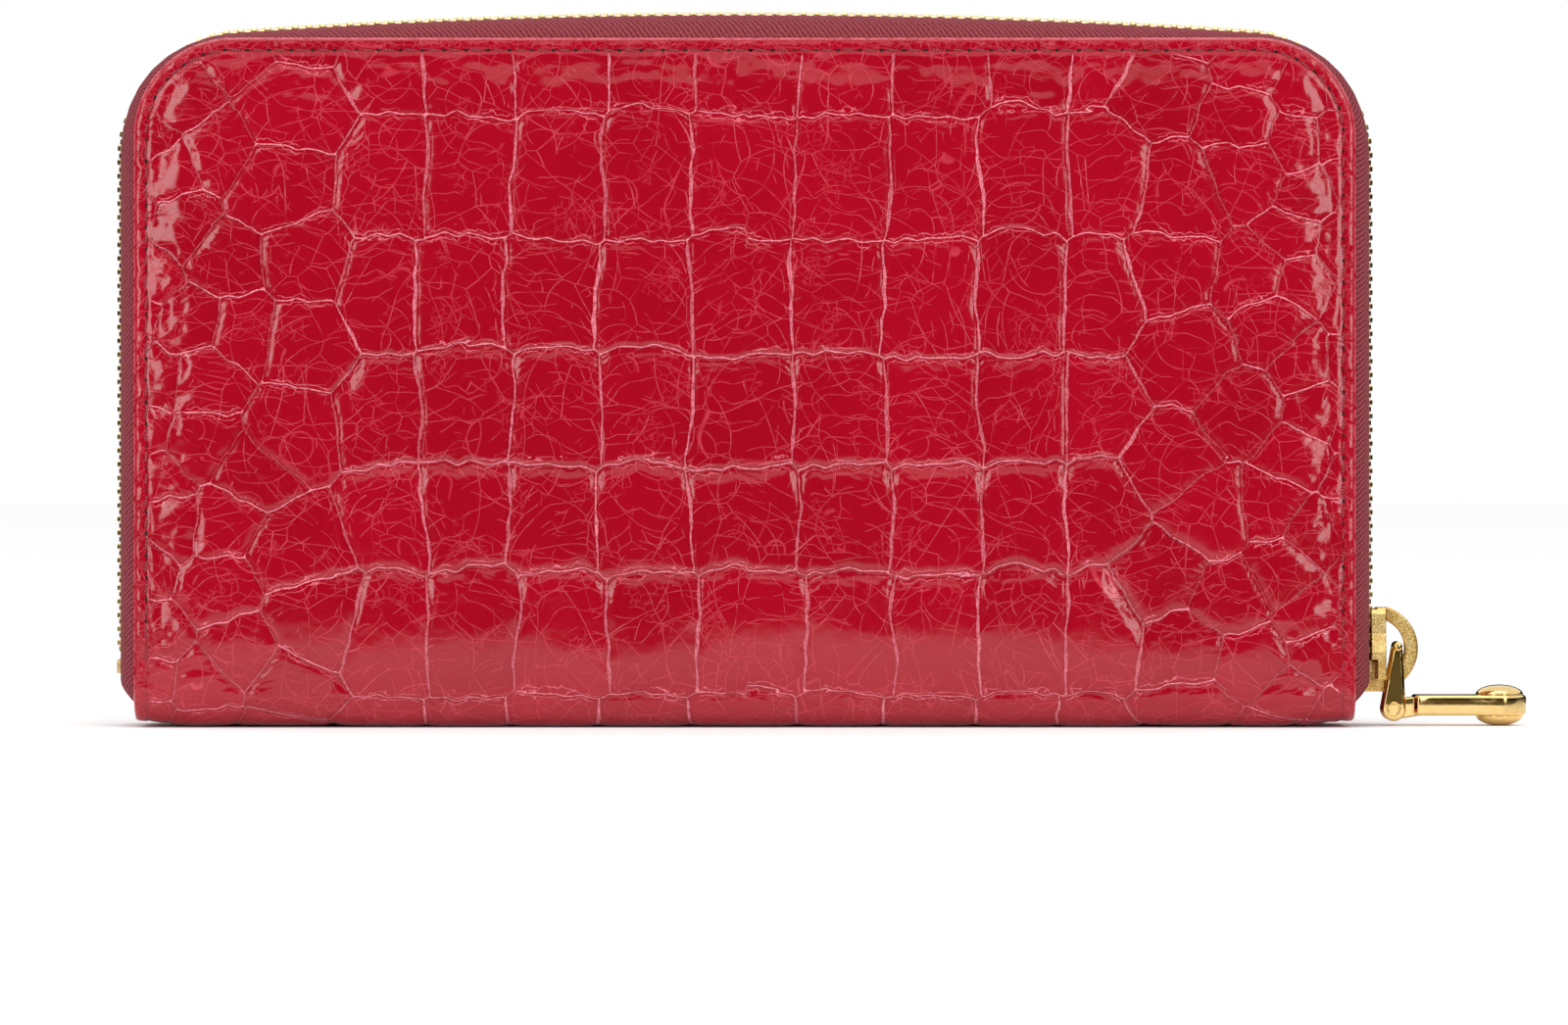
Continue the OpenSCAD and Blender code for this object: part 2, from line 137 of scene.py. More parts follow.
def point_data(obj, name, values):
    """Keeps a number or three for each point of the mesh, for its material."""
    values = np.asarray(values, dtype=np.float32)
    kind, field = ("FLOAT_VECTOR", "vector") if values.ndim == 2 else ("FLOAT", "value")
    obj.data.attributes.new(name, kind, "POINT").data.foreach_set(field, values.ravel())


def tube_faces(first, around, rings):
    """Faces between rings of points, and the two ends, of a tube whose points begin at first."""
    faces = [[first + i * around + j, first + i * around + (j + 1) % around,
              first + (i + 1) * around + (j + 1) % around, first + (i + 1) * around + j]
             for i in range(rings) for j in range(around)]
    return faces + [[first + j for j in range(around)], [first + rings * around + j for j in reversed(range(around))]]


def sheet_faces(rows, cols):
    """Faces of a closed sheet whose points are the rows of one skin and then of the other."""
    def at(skin, i, j):
        return (skin * rows + i) * cols + j

    faces = [[at(skin, i, j), at(skin, i, j + 1), at(skin, i + 1, j + 1), at(skin, i + 1, j)]
             for i in range(rows - 1) for j in range(cols - 1) for skin in (0, 1)]
    faces += [[at(0, i, j), at(0, i + 1, j), at(1, i + 1, j), at(1, i, j)]
              for i in range(rows - 1) for j in (0, cols - 1)]
    return faces + [[at(0, i, j), at(1, i, j), at(1, i, j + 1), at(0, i, j + 1)]
                    for i in (0, rows - 1) for j in range(cols - 1)]


def copies(spots, shape, faces, side):
    """Copies of a shape at spots of x, z, angle and depth.

    Each of its points is its place along the angle, across it, and its depth beyond the spot's.
    """
    verts, all_faces = [], []
    along, across, deep = shape.T
    for n, (x, z, a, y) in enumerate(spots):
        ca, sa = math.cos(a), math.sin(a)
        verts.append(np.column_stack([x + along * ca - across * sa, side * (y + deep), z + along * sa + across * ca]))
        all_faces += [[n * len(shape) + k for k in face] for face in faces]
    return np.concatenate(verts), all_faces


def soft(obj, nodes):
    """A piece that stands for the nodes: hides them and moves the piece's placing into its mesh."""
    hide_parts(*nodes)
    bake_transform(obj)


def smooth01(t):
    t = np.clip(t, 0, 1)
    return t * t * (3 - 2 * t)


def lattice_noise(x, y, seed, size):
    """Smooth noise from -1 to 1 whose bumps are about size wide."""
    table = np.random.default_rng(seed).uniform(-1, 1, (64, 64))
    u, v = x / size + 17.3, y / size + 5.7
    i, j = np.floor(u).astype(int), np.floor(v).astype(int)
    su, sv = smooth01(u - i), smooth01(v - j)
    a, b = table[i % 64, j % 64], table[(i + 1) % 64, j % 64]
    c, d = table[i % 64, (j + 1) % 64], table[(i + 1) % 64, (j + 1) % 64]
    return (a * (1 - su) + b * su) * (1 - sv) + (c * (1 - su) + d * su) * sv


# ---- materials ----
class Nodes:
    """Short names for the shader nodes that the materials use."""

    def __init__(self, name):
        self.mat = bpy.data.materials.new(name)
        self.mat.use_nodes = True
        self.tree = self.mat.node_tree
        self.bsdf = self.tree.nodes["Principled BSDF"]

    def put(self, socket, value):
        """Links a node's output to the socket, or sets its number or colour."""
        if isinstance(value, bpy.types.NodeSocket):
            self.tree.links.new(value, socket)
        else:
            socket.default_value = (*value, 1) if socket.type == "RGBA" else value

    def node(self, kind, inputs, **settings):
        n = self.tree.nodes.new("ShaderNode" + kind)
        for key, value in settings.items():
            setattr(n, key, value)
        for key, value in inputs.items():
            self.put(n.inputs[key], value)
        return n

    def math(self, op, a, b=0.0, c=0.0, clamp=False):
        return self.node("Math", {0: a, 1: b, 2: c}, operation=op, use_clamp=clamp).outputs[0]

    def times(self, *values):
        return reduce(lambda a, b: self.math("MULTIPLY", a, b), values)

    def plus(self, *values):
        return reduce(lambda a, b: self.math("ADD", a, b), values)

    def minus(self, a, b):
        return self.math("SUBTRACT", a, b)

    def most(self, *values):
        return reduce(lambda a, b: self.math("MAXIMUM", a, b), values)

    def size(self, value):
        return self.math("ABSOLUTE", value)

    def ramp(self, value, lo, hi, out_lo=0.0, out_hi=1.0):
        """A smooth step from out_lo to out_hi as the value goes from lo to hi."""
        ends = {0: value, 1: lo, 2: hi, 3: out_lo, 4: out_hi}
        return self.node("MapRange", ends, interpolation_type="SMOOTHSTEP").outputs[0]

    def fall(self, value, lo, hi):
        """A smooth step from 1 down to 0."""
        return self.ramp(value, lo, hi, 1.0, 0.0)

    def mix(self, share, a, b):
        return self.node("Mix", {0: share, 6: a, 7: b}, data_type="RGBA").outputs[2]

    def split(self, vector):
        return self.node("SeparateXYZ", {0: vector}).outputs

    def join(self, x, y, z=0.0):
        return self.node("CombineXYZ", {0: x, 1: y, 2: z}).outputs[0]

    def numbers(self, name):
        """The three numbers that the mesh keeps under the name at each point."""
        return self.split(self.node("Attribute", {}, attribute_name=name).outputs["Vector"])

    def number(self, name):
        return self.node("Attribute", {}, attribute_name=name).outputs["Fac"]

    def position(self):
        """Object position in millimetres."""
        place = self.node("TexCoord", {}).outputs["Object"]
        return self.node("VectorMath", {0: place, "Scale": 1 / MM}, operation="SCALE").outputs[0]

    def noise(self, vector, scale, detail=2.0, rough=0.5, distortion=0.0):
        return self.node("TexNoise", {"Vector": vector, "Scale": scale, "Detail": detail,
                                      "Roughness": rough, "Distortion": distortion}).outputs[0]

    def pushed(self, vector, scale, amount, detail=0.0):
        """The vector pushed about by noise."""
        push = self.node("TexNoise", {"Vector": vector, "Scale": scale, "Detail": detail}).outputs["Color"]
        return self.node("VectorMath", {0: push, 1: (amount, amount, amount), 2: vector},
                         operation="MULTIPLY_ADD").outputs[0]

    def distance_to_points(self, vector, size):
        """Distance in millimetres to the nearest of points scattered about size apart."""
        n = self.node("TexVoronoi", {"Vector": vector, "Scale": 1 / size}, feature="F1")
        return self.times(n.outputs["Distance"], size)

    def cracks(self, vector, scale):
        """Distance, in cells, to the nearest border between random cells."""
        n = self.node("TexVoronoi", {"Vector": vector, "Scale": scale}, feature="DISTANCE_TO_EDGE")
        return n.outputs["Distance"]

    def bump(self, height, distance_mm):
        return self.node("Bump", {"Strength": 1.0, "Distance": distance_mm * MM, "Height": height}).outputs[0]

    def finish(self, **values):
        """Sets the shader's sockets, named with _ in place of spaces."""
        for key, value in values.items():
            self.put(self.bsdf.inputs[key.replace("_", " ")], value)
        return self.mat


def scale_leather():
    """Glossy red leather with plates, pale grooves, arcs and crackle, with painted shade beside the upright grooves and
    in the stitch channel, and a painted highlight along the edge; the grooves' pale colour is partly painted highlight.
    """
    m = Nodes("scale_leather")
    x, q, tone = m.numbers("flat")
    spot = m.join(x, q)
    border_a, border_b, border_c = m.numbers("cells")
    upright, strength, level = m.numbers("border")
    low_ring, high_ring, top = m.numbers("rings")
    rim = m.number("rim")

    def patches(scale, lo, hi, out_lo=0.0, out_hi=1.0, detail=2.0, rough=0.5, sheet=0.0):
        """Noise over the leather, cut between lo and hi; another sheet gives another pattern."""
        at = m.join(x, q, sheet) if sheet else spot
        return m.ramp(m.noise(at, scale, detail, rough), lo, hi, out_lo, out_hi)

    order = m.fall(m.size(x), 60.0, 66.0)
    d = m.math("MINIMUM", m.math("MINIMUM", m.size(border_a), m.size(border_b)), m.size(border_c))
    inner = m.ramp(rim, 2.3, 3.2)
    rag = m.minus(m.noise(spot, 1.6, 4.0, 0.7), 0.5)
    d_rag = m.plus(d, m.times(rag, 0.34))

    # upright borders are wider and rough, level ones are thin and bright; the grooves' pale colour is partly their own
    # and partly painted highlight
    swell = m.times(patches(0.16, 0.3, 0.7, 0.03, 0.24), m.ramp(level, 0.3, 3.5, 0.2, 1.0))
    wide = m.plus(0.08, m.times(m.ramp(upright, 0.6, 0.9), order, swell))
    groove = m.ramp(m.minus(d_rag, wide), -0.05, 0.04, 1.0, 0.0)
    scratch = m.noise(m.join(m.times(x, 4.2), m.times(q, 0.8)), 1.0, 3.0, 0.7)
    rasp = m.times(patches(2.4, 0.36, 0.6, 0.45, 1.0, 3.0, 0.8), m.ramp(scratch, 0.38, 0.58, 0.35, 1.0))
    plain = m.fall(upright, 0.5, 0.75)
    groove = m.times(m.times(groove, m.most(strength, plain)),
                     m.times(inner, m.most(rasp, m.times(plain, 0.85))))
    # a second line beside some level borders
    twin = m.minus(d, m.math("MULTIPLY_ADD", m.noise(spot, 0.45, 2.0, 0.7), 2.2, -0.5))
    twin = m.fall(m.size(twin), 0.02, 0.10)
    twin = m.times(twin, m.times(m.fall(upright, 0.3, 0.6), patches(0.14, 0.42, 0.48, detail=1.0)))
    twin = m.times(twin, m.times(inner, m.fall(d, 0.7, 1.6)))
    # painted shade: a darker band beside each upright groove, as the shade of its valley
    side = m.times(m.fall(d_rag, 0.15, 0.75), m.times(upright, inner))

    # arcs round two points of each plate and round scattered points, with uneven gaps
    def arcs(radius, gap, sheet, cut, least=2.3):
        bent = m.plus(radius, m.times(m.noise(m.join(x, q, sheet), 0.10, 0.0), 1.6))
        part = m.math("FRACT", m.math("DIVIDE", bent, gap))
        off = m.times(m.size(m.minus(part, 0.5)), gap)
        line = m.times(m.fall(off, 0.02, 0.09), m.ramp(radius, least - 0.3, least + 0.3))
        return m.times(line, patches(0.15, cut, cut + 0.05, rough=0.6, sheet=sheet + 9.0))

    ring = m.most(arcs(low_ring, 3.1, 3.0, 0.43), arcs(high_ring, 4.1, 7.0, 0.45))
    for apart, gap, shift in ((11.0, 3.4, 31.0), (14.0, 4.3, 57.0)):
        middle = m.distance_to_points(m.join(m.plus(x, shift), q), apart)
        ring = m.most(ring, arcs(middle, gap, shift, 0.51, 4.0))
    # crackle in three sizes, each missing in places
    coarse = m.times(m.fall(m.cracks(m.pushed(spot, 0.07, 7.0), 0.13), 0.002, 0.010),
                     patches(0.12, 0.36, 0.44, 0.35, 1.0, 1.0, sheet=2.0))
    middling = m.times(m.fall(m.cracks(m.pushed(spot, 0.12, 4.0), 0.27), 0.005, 0.022),
                       patches(0.16, 0.50, 0.53, detail=1.0, sheet=4.0))
    fine = m.times(m.fall(m.cracks(m.pushed(spot, 0.4, 1.5), 0.75), 0.02, 0.065),
                   m.most(patches(0.12, 0.62, 0.66, detail=1.0, sheet=8.0), m.fall(rim, 1.7, 2.3)))
    lines = m.most(m.times(ring, 0.85), coarse)
    lines = m.most(lines, m.most(m.times(middling, 0.65), m.times(fine, 0.5)))
    lines = m.times(m.times(lines, patches(0.5, 0.25, 0.7, 0.45, 1.0)), m.ramp(rim, 0.2, 0.7))

    cloud = m.noise(spot, 0.07, 3.0)
    shade = m.ramp(m.plus(m.times(tone, 0.35), m.times(cloud, 0.8)), 0.2, 0.95)
    speck = patches(2.6, 0.3, 0.75, detail=3.0, rough=0.7)
    # painted shade: a dark line along the stitch channel, under and between the stitches
    channel_shade = m.times(m.ramp(rim, 1.80, 1.92), m.fall(rim, 2.08, 2.2))
    # painted highlight: a lighter, patchy band along the outer edge and its turned rim
    edge_highlight = m.times(m.fall(rim, 0.1, 0.5), patches(0.9, 0.3, 0.6, detail=3.0))
    base = m.mix(shade, (0.285, 0.0004, 0.0085), (0.345, 0.0006, 0.0125))
    for share, colour in (
        (m.times(speck, 0.2), (0.40, 0.002, 0.016)),
        # painted shade beside the upright grooves
        (m.times(side, 0.25), (0.19, 0.0003, 0.006)),
        (m.times(lines, 0.54), (0.66, 0.075, 0.11)),
        (m.times(twin, 0.8), (0.70, 0.15, 0.20)),
        # pale grooves: partly their own colour, partly painted highlight
        (groove, (0.90, 0.27, 0.34)),
        (m.times(channel_shade, 0.3), (0.05, 0.0005, 0.004)),
        (m.times(edge_highlight, 0.5), (0.76, 0.16, 0.21)),
    ):
        base = m.mix(share, base, colour)

    # growth ripples below each level border, which the glare shows
    ripple = m.math("SINE", m.times(m.plus(low_ring, m.times(m.noise(spot, 0.3, 2.0), 3.0)), 4.6))
    ripple = m.times(ripple, m.times(m.ramp(top, 0.5, 5.5, 0.20, 0.0), patches(0.2, 0.35, 0.6)))
    height = m.minus(m.times(m.noise(spot, 3.4, 3.0, 0.6), 0.03), m.times(lines, 0.16))
    height = m.minus(height, m.times(m.times(groove, upright), 0.16))
    height = m.plus(height, ripple, m.times(m.noise(spot, 0.5, 1.0), 0.35))
    rough = m.plus(m.times(m.noise(spot, 1.1, 3.0, 0.6), 0.08), m.times(groove, 0.3), 0.07)
    return m.finish(Base_Color=base, Roughness=rough, Normal=m.bump(height, 0.10), Coat_Weight=0.25,
                    Coat_Roughness=0.07, IOR=1.45)


def smooth_leather():
    """Dark red lining leather with a fine pebbled grain, with painted shade in the grain's hollows."""
    m = Nodes("smooth_leather")
    p = m.position()
    pebble = m.ramp(m.cracks(m.pushed(p, 0.6, 0.8, 3.0), 1.5), 0.0, 0.28)
    cloud = m.noise(p, 0.05, 3.0)
    base = m.mix(m.ramp(cloud, 0.3, 0.7), (0.30, 0.004, 0.014), (0.40, 0.008, 0.022))
    # painted shade: darker in the hollows between the pebbles
    base = m.mix(m.times(m.minus(1.0, pebble), 0.4), base, (0.16, 0.001, 0.006))
    height = m.plus(m.times(pebble, 0.5), m.times(m.noise(p, 4.0, 2.0), 0.3))
    return m.finish(Base_Color=base, Roughness=m.ramp(pebble, 0.0, 1.0, 0.6, 0.42), Normal=m.bump(height, 0.08))


def woven_cloth():
    """Twill tape: slanted ribs across the length of the tape."""
    m = Nodes("woven_cloth")
    along, across, _ = m.numbers("weave")
    spot = m.join(along, across)
    slant = m.plus(m.times(along, 7.5), m.times(across, 5.0), m.times(m.noise(spot, 0.8, 2.0), 3.0))
    yarn = m.math("SINE", m.minus(m.times(across, 19.0), m.times(along, 6.0)))
    weave = m.plus(m.times(m.math("SINE", slant), 0.5), m.times(yarn, 0.25))
    fuzz = m.noise(spot, 2.6, 3.0, 0.7)
    base = m.mix(m.ramp(weave, -0.45, 0.45), (0.105, 0.010, 0.016), (0.290, 0.040, 0.052))
    base = m.mix(m.times(m.ramp(fuzz, 0.45, 0.7), 0.45), base, (0.36, 0.09, 0.10))
    height = m.plus(weave, m.times(fuzz, 0.5))
    return m.finish(Base_Color=base, Roughness=0.85, Normal=m.bump(height, 0.07), Sheen_Weight=0.03,
                    Sheen_Roughness=0.5, Specular_IOR_Level=0.15)


def plain_cloth():
    """Plain weave of the coin pocket's tape."""
    m = Nodes("plain_cloth")
    x, y, _ = m.split(m.position())
    weave = m.times(m.math("SINE", m.times(x, 11.0)), m.math("SINE", m.times(y, 11.0)))
    base = m.mix(m.ramp(weave, -0.8, 0.8), (0.16, 0.02, 0.028), (0.33, 0.055, 0.07))
    return m.finish(Base_Color=base, Roughness=0.85, Normal=m.bump(weave, 0.06))


def sewing_thread():
    """Twisted thread; the twist runs round each stitch."""
    m = Nodes("sewing_thread")
    along, turn, _ = m.numbers("weave")
    twist = m.math("SINE", m.plus(m.times(along, 13.0), m.times(turn, 6.28)))
    base = m.mix(m.ramp(twist, -0.8, 0.8), (0.15, 0.006, 0.014), (0.36, 0.030, 0.045))
    return m.finish(Base_Color=base, Roughness=0.5, Normal=m.bump(twist, 0.05))


# painted shade: near-black discs stand for the dark inside the needle holes
def needle_hole_shade():
    m = Nodes("needle_hole_shade")
    speck = m.noise(m.position(), 5.0, 2.0)
    return m.finish(Base_Color=m.mix(speck, (0.004, 0.001, 0.001), (0.02, 0.003, 0.004)), Roughness=0.8)


def stiff_board():
    """Pressed fibre board."""
    m = Nodes("stiff_board")
    fibre = m.noise(m.position(), 0.9, 4.0, 0.7, 0.6)
    base = m.mix(fibre, (0.42, 0.33, 0.22), (0.60, 0.50, 0.38))
    return m.finish(Base_Color=base, Roughness=0.9, Normal=m.bump(fibre, 0.05))


def gold(name, dark, light, rough_lo, rough_hi, grain, depth):
    """Plated metal; a fine grain stands for blasting, and a faint one for polishing marks."""
    m = Nodes(name)
    p = m.position()
    cloud = m.noise(p, 0.35, 3.0, 0.6)
    speck = m.noise(p, grain, 2.0, 0.6)
    tint = m.ramp(m.plus(m.times(cloud, 0.5), m.times(speck, 0.5)), 0.35, 0.65)
    rough = m.ramp(speck, 0.3, 0.7, rough_lo, rough_hi)
    return m.finish(Base_Color=m.mix(tint, dark, light), Metallic=1.0, Roughness=rough, Normal=m.bump(speck, depth))


LEATHER = scale_leather()
INNER = smooth_leather()
WEAVE = woven_cloth()
CLOTH = plain_cloth()
THREAD = sewing_thread()
HOLE_SHADE = needle_hole_shade()
BOARD = stiff_board()
SATIN = gold("satin_gold", (0.74, 0.43, 0.10), (1.0, 0.78, 0.34), 0.24, 0.42, 3.6, 0.10)
POLISHED = gold("polished_gold", (0.84, 0.57, 0.22), (0.90, 0.65, 0.28), 0.05, 0.10, 0.9, 0.003)
# dark brass of the pin ends, and painted shade on the slider's wedge
DARK_BRASS_AND_SHADE = gold("dark_brass_and_shade", (0.15, 0.075, 0.03), (0.24, 0.13, 0.06), 0.5, 0.65, 3.0, 0.01)
TEETH = gold("teeth_gold", (0.90, 0.62, 0.25), (1.0, 0.80, 0.42), 0.24, 0.38, 2.2, 0.01)


# ---- leather ----
ROW_BASE = 4.6  # height of the lowest level border, then the heights of the rows above it
ROW_HEIGHTS = [19.4, 16.8, 17.3, 17.9, 19.1]
ROW_STEP = 18.1  # their mean
COLUMN_EDGES = [8.3, 22.3, 36.5, 50.0, 61.0]
ORDERED_X = 66.0  # the rows and columns end here
SEAM_WIDTH = 2.2  # of the rim outside the stitches' channel
FAR, AWAY = 50.0, 20.0  # stand for a border that is nowhere near
BATCH = 4000  # points worked on at a time
LEATHER_STEP = 0.5
GRID_SIDE = 161  # knots of the zigzag across the cover
EDGE_TURNS = 6


def outline_depth(x, z):
    """How far a point of a cover lies inside its outline."""
    x = np.abs(x)
    corner = CORNER_R - np.hypot(x - CORNER_X, z - CORNER_Z)
    plain = np.minimum(HALF_W - x, TOP - z)
    return np.where((x > CORNER_X) & (z > CORNER_Z), corner, plain)


def plate_seeds(rng):
    """Middle points of the plates: rows and columns in the middle, scattered towards the edges."""
    row_edges = ROW_BASE + np.cumsum([0] + ROW_HEIGHTS)
    row_mid = [ROW_BASE + ROW_HEIGHTS[0] / 2]
    for edge in row_edges[1:]:
        row_mid.append(2 * edge - row_mid[-1])
    row_mid.insert(0, 2 * row_edges[0] - row_mid[0])
    col_mid = [0.0]
    for edge in COLUMN_EDGES:
        col_mid.append(2 * edge - col_mid[-1])
    seeds = []
    for z in row_mid:
        lean = rng.uniform(-0.8, 0.8)
        for k, x in enumerate(col_mid[:-1]):
            for sign in ((1, -1) if k else (1,)):
                seeds.append([sign * x + lean + rng.uniform(-0.9, 0.9), z + rng.uniform(-0.35, 0.35)])
    ordered = len(seeds)
    flank_x, tries = (57, 97), 9000
    for _ in range(tries):
        x, z = rng.uniform(*flank_x) * rng.choice([-1, 1]), rng.uniform(-12, 110)
        gap = 11.5 - 5.6 * (abs(x) - flank_x[0]) / 38
        near = np.array(seeds)
        flatter = np.where(np.arange(len(near)) < ordered, 0.75, 1.0)
        if np.hypot(near[:, 0] - x, (near[:, 1] - z) * flatter).min() > gap:
            seeds.append([x, z])
    return np.array(seeds)


def plate_numbers(seeds, pairs):
    """One of eight numbers for each plate, so that the two plates of a pair differ."""
    near = {k: set() for k in range(len(seeds))}
    for a, b in pairs:
        near[int(a)].add(int(b))
        near[int(b)].add(int(a))
    number = {}
    for k in sorted(near, key=lambda k: -len(near[k])):
        used = {number[n] for n in near[k] if n in number}
        number[k] = next((c for c in range(8) if c not in used), 0)
    return np.array([number[k] for k in range(len(seeds))])


def plate_field(x, q, seeds, rng):
    """Where each point lies among the plates.

    Returns three signed distances to the plates' borders, the point's plate, the nearest border's
    uprightness and strength, and the distances to the border above and to any level one. Each signed
    distance changes sign where one binary digit of the plates' numbers does, so the nearest border
    is where any of them is 0.
    """
    pts = np.column_stack([x, q])
    own = np.empty(len(pts), dtype=int)
    batches = [slice(i, i + BATCH) for i in range(0, len(pts), BATCH)]
    pairs = set()
    for part in batches:
        dist = ((pts[part, None, :] - seeds[None]) ** 2).sum(2)
        few = dist.argsort(axis=1)[:, :3]
        own[part] = few[:, 0]
        pairs.update(map(tuple, np.sort(few[:, :2], axis=1)))
        pairs.update(map(tuple, np.sort(few[:, ::2], axis=1)))
    code = plate_numbers(seeds, pairs)
    across = seeds[None] - seeds[:, None]
    apart = np.hypot(across[..., 0], across[..., 1]) + 1e-9
    upright_of = np.abs(across[..., 0]) / apart
    above = across[..., 1] / apart > 0.6
    power = rng.uniform(0.45, 1.0, (len(seeds), len(seeds)))
    power = np.minimum(power, power.T)
    field = np.empty((len(pts), 3))
    upright, strength, top, level = (np.empty(len(pts)) for _ in range(4))
    for part in batches:
        p, o = pts[part], own[part]
        here = np.arange(len(p))
        dist = ((p[:, None, :] - seeds[None]) ** 2).sum(2)
        border = (dist - dist[here, o][:, None]) / (2 * apart[o])
        border[here, o] = FAR
        nearest = border.argmin(1)
        upright[part] = upright_of[o, nearest]
        strength[part] = power[o, nearest]
        top[part] = np.where(above[o], border, FAR).min(1)
        level[part] = np.where(upright_of[o] < 0.6, border, FAR).min(1)
        for bit in range(3):
            digit = (code >> bit) & 1
            other = digit[None, :] != digit[o][:, None]
            field[part, bit] = np.where(other, border, FAR).min(1) * np.where(digit[o] == 1, 1, -1)
    return field, own, upright, strength, top, level


def leather_rows():
    """Rows of the leather from the middle of the underside to the top.

    Returns each row's unrolled height q and its half width.
    """
    arc = FOLD_Z * math.pi / 2
    r = CORNER_R - RIM
    under = np.linspace(FOLD_Z - arc - (HALF_Y - FOLD_Z), FOLD_Z - arc, 6)[:-1]
    bend = np.linspace(FOLD_Z - arc, FOLD_Z, 17)[:-1]
    rise = np.linspace(FOLD_Z, CORNER_Z, int((CORNER_Z - FOLD_Z) / LEATHER_STEP) + 1)
    turn = np.linspace(0, math.pi / 2, int(r * math.pi / 2 / LEATHER_STEP) + 1)[1:]
    q = np.concatenate([under, bend, rise, CORNER_Z + r * np.sin(turn)])
    straight = np.full(len(under) + len(bend) + len(rise), HALF_W - RIM)
    return q, np.concatenate([straight, CORNER_X + r * np.cos(turn)])


def fold_point(q, lift):
    """|y| and z of the leather at unrolled height q, lifted off the cover's surface."""
    arc = FOLD_Z * math.pi / 2
    angle = np.clip((FOLD_Z - q) / arc, 0, 1) * math.pi / 2
    ny, nz = np.cos(angle), -np.sin(angle)
    flat_y = HALF_Y - FOLD_Z
    y = np.where(q >= FOLD_Z, HALF_Y,
                 np.where(q > FOLD_Z - arc, flat_y + FOLD_Z * np.cos(angle), flat_y + (q - (FOLD_Z - arc))))
    z = np.where(q >= FOLD_Z, q, np.where(q > FOLD_Z - arc, FOLD_Z - FOLD_Z * np.sin(angle), 0.0))
    return y + ny * lift, z + nz * lift


def skin_height(x, q, seed, field, upright, top, ordered):
    """Height of the leather's skin over the flat cover, and the depth inside its outline."""
    def bumps(shift, size, squeeze=1.0):
        return lattice_noise(x * squeeze, q, seed + shift, size)

    depth = outline_depth(x, q)
    # the cover rolls down to its edge, and to the fold at the bottom
    lift = -0.8 * np.clip((11 - depth) / 8.4, 0, 1) ** 2
    # channel of the stitches, and the rim outside it
    lift -= (0.15 + 0.05 * bumps(6, 4)) * np.exp(-((depth - STITCH_IN) / 0.42) ** 2)
    edge = smooth01((SEAM_WIDTH - depth) / 0.6)
    lift -= 0.25 * np.clip((SEAM_WIDTH - depth) / SEAM_WIDTH, 0, 1) ** 1.5
    lift += edge * (0.09 * bumps(7, 1.6) + 0.05 * bumps(8, 0.9))
    lift -= 0.55 * np.where(q > FOLD_Z, np.clip((17 - q) / 11, 0, 1) ** 2,
                            np.clip(1 - (FOLD_Z - q) / (FOLD_Z * math.pi / 2), 0, 1))
    # grooves between the plates
    d = np.abs(field).min(1)
    inner = smooth01((depth - 2.6) / 1.8)
    sharp = np.where(upright > 0.6, 0.14, 0.11)
    lift -= inner * sharp * np.exp(-(d / 0.62) ** 2)
    lift -= inner * (0.03 + 0.07 * upright) * np.exp(-(d / 2.0) ** 2)
    # below a level border the plate rises slowly, most in the lower rows, and takes the light from above
    low = 0.25 + 0.75 * smooth01((66 - q) / 16)
    lift -= inner * (0.07 + 0.37 * low * ordered) * np.exp(-(top / 1.9) ** 2)
    # swell, wrinkles, and creases near the edge
    lift += inner * 0.16 * (bumps(1, 15) - 0.6)
    lift += inner * 0.035 * bumps(2, 3.4)
    crease = smooth01((14 - depth) / 6) * smooth01((depth - 2.2) / 1.5)
    lift -= 0.20 * crease * np.clip(bumps(3, 2.8, 0.6), 0, 1)
    lift += 0.07 * crease * bumps(4, 1.5)
    return np.clip(lift, -1.08, 0.15), depth


def bent_sheet(x, q, seed, rng):
    """Places on the bent and ragged sheet that plates are drawn on, whose borders arch and wander."""
    col = np.abs(x)
    knots = np.array([-COLUMN_EDGES[0]] + COLUMN_EDGES + [72.0])
    at = np.clip(np.searchsorted(knots, col) - 1, 0, len(knots) - 2)
    along = (col - knots[at]) / (knots[at + 1] - knots[at]) * 2 - 1
    row = np.clip(np.floor((q - ROW_BASE) / ROW_STEP + 0.5), 0, 6).astype(int)
    bow = rng.uniform(-0.3, 1.5, (7, 2, 8))
    in_row = (q - ROW_BASE) / ROW_STEP + 0.5 - row
    arch = (bow[row, (x > 0).astype(int), at] * (1 - along ** 2) * smooth01((ORDERED_X - col) / 12)
            * smooth01(4 * np.minimum(in_row, 1 - in_row)))
    # level borders are drawn in short straight runs, upright ones wander smoothly
    half = GRID_SIDE // 2
    zigzag = np.interp(x * 0.56, np.arange(-half, half + 1), rng.uniform(-1, 1, GRID_SIDE))
    zigzag = zigzag * np.where(np.floor((q + 12) / 18).astype(int) % 2 == 0, 1, -1)
    u = x + 0.8 * lattice_noise(x, q, seed + 10, 8) + 0.22 * lattice_noise(x, q, seed + 11, 2.4)
    v = q - arch + 0.55 * lattice_noise(x, q, seed + 12, 9) + 0.52 * zigzag
    return u, v + 0.15 * lattice_noise(x, q, seed + 13, 1.6)


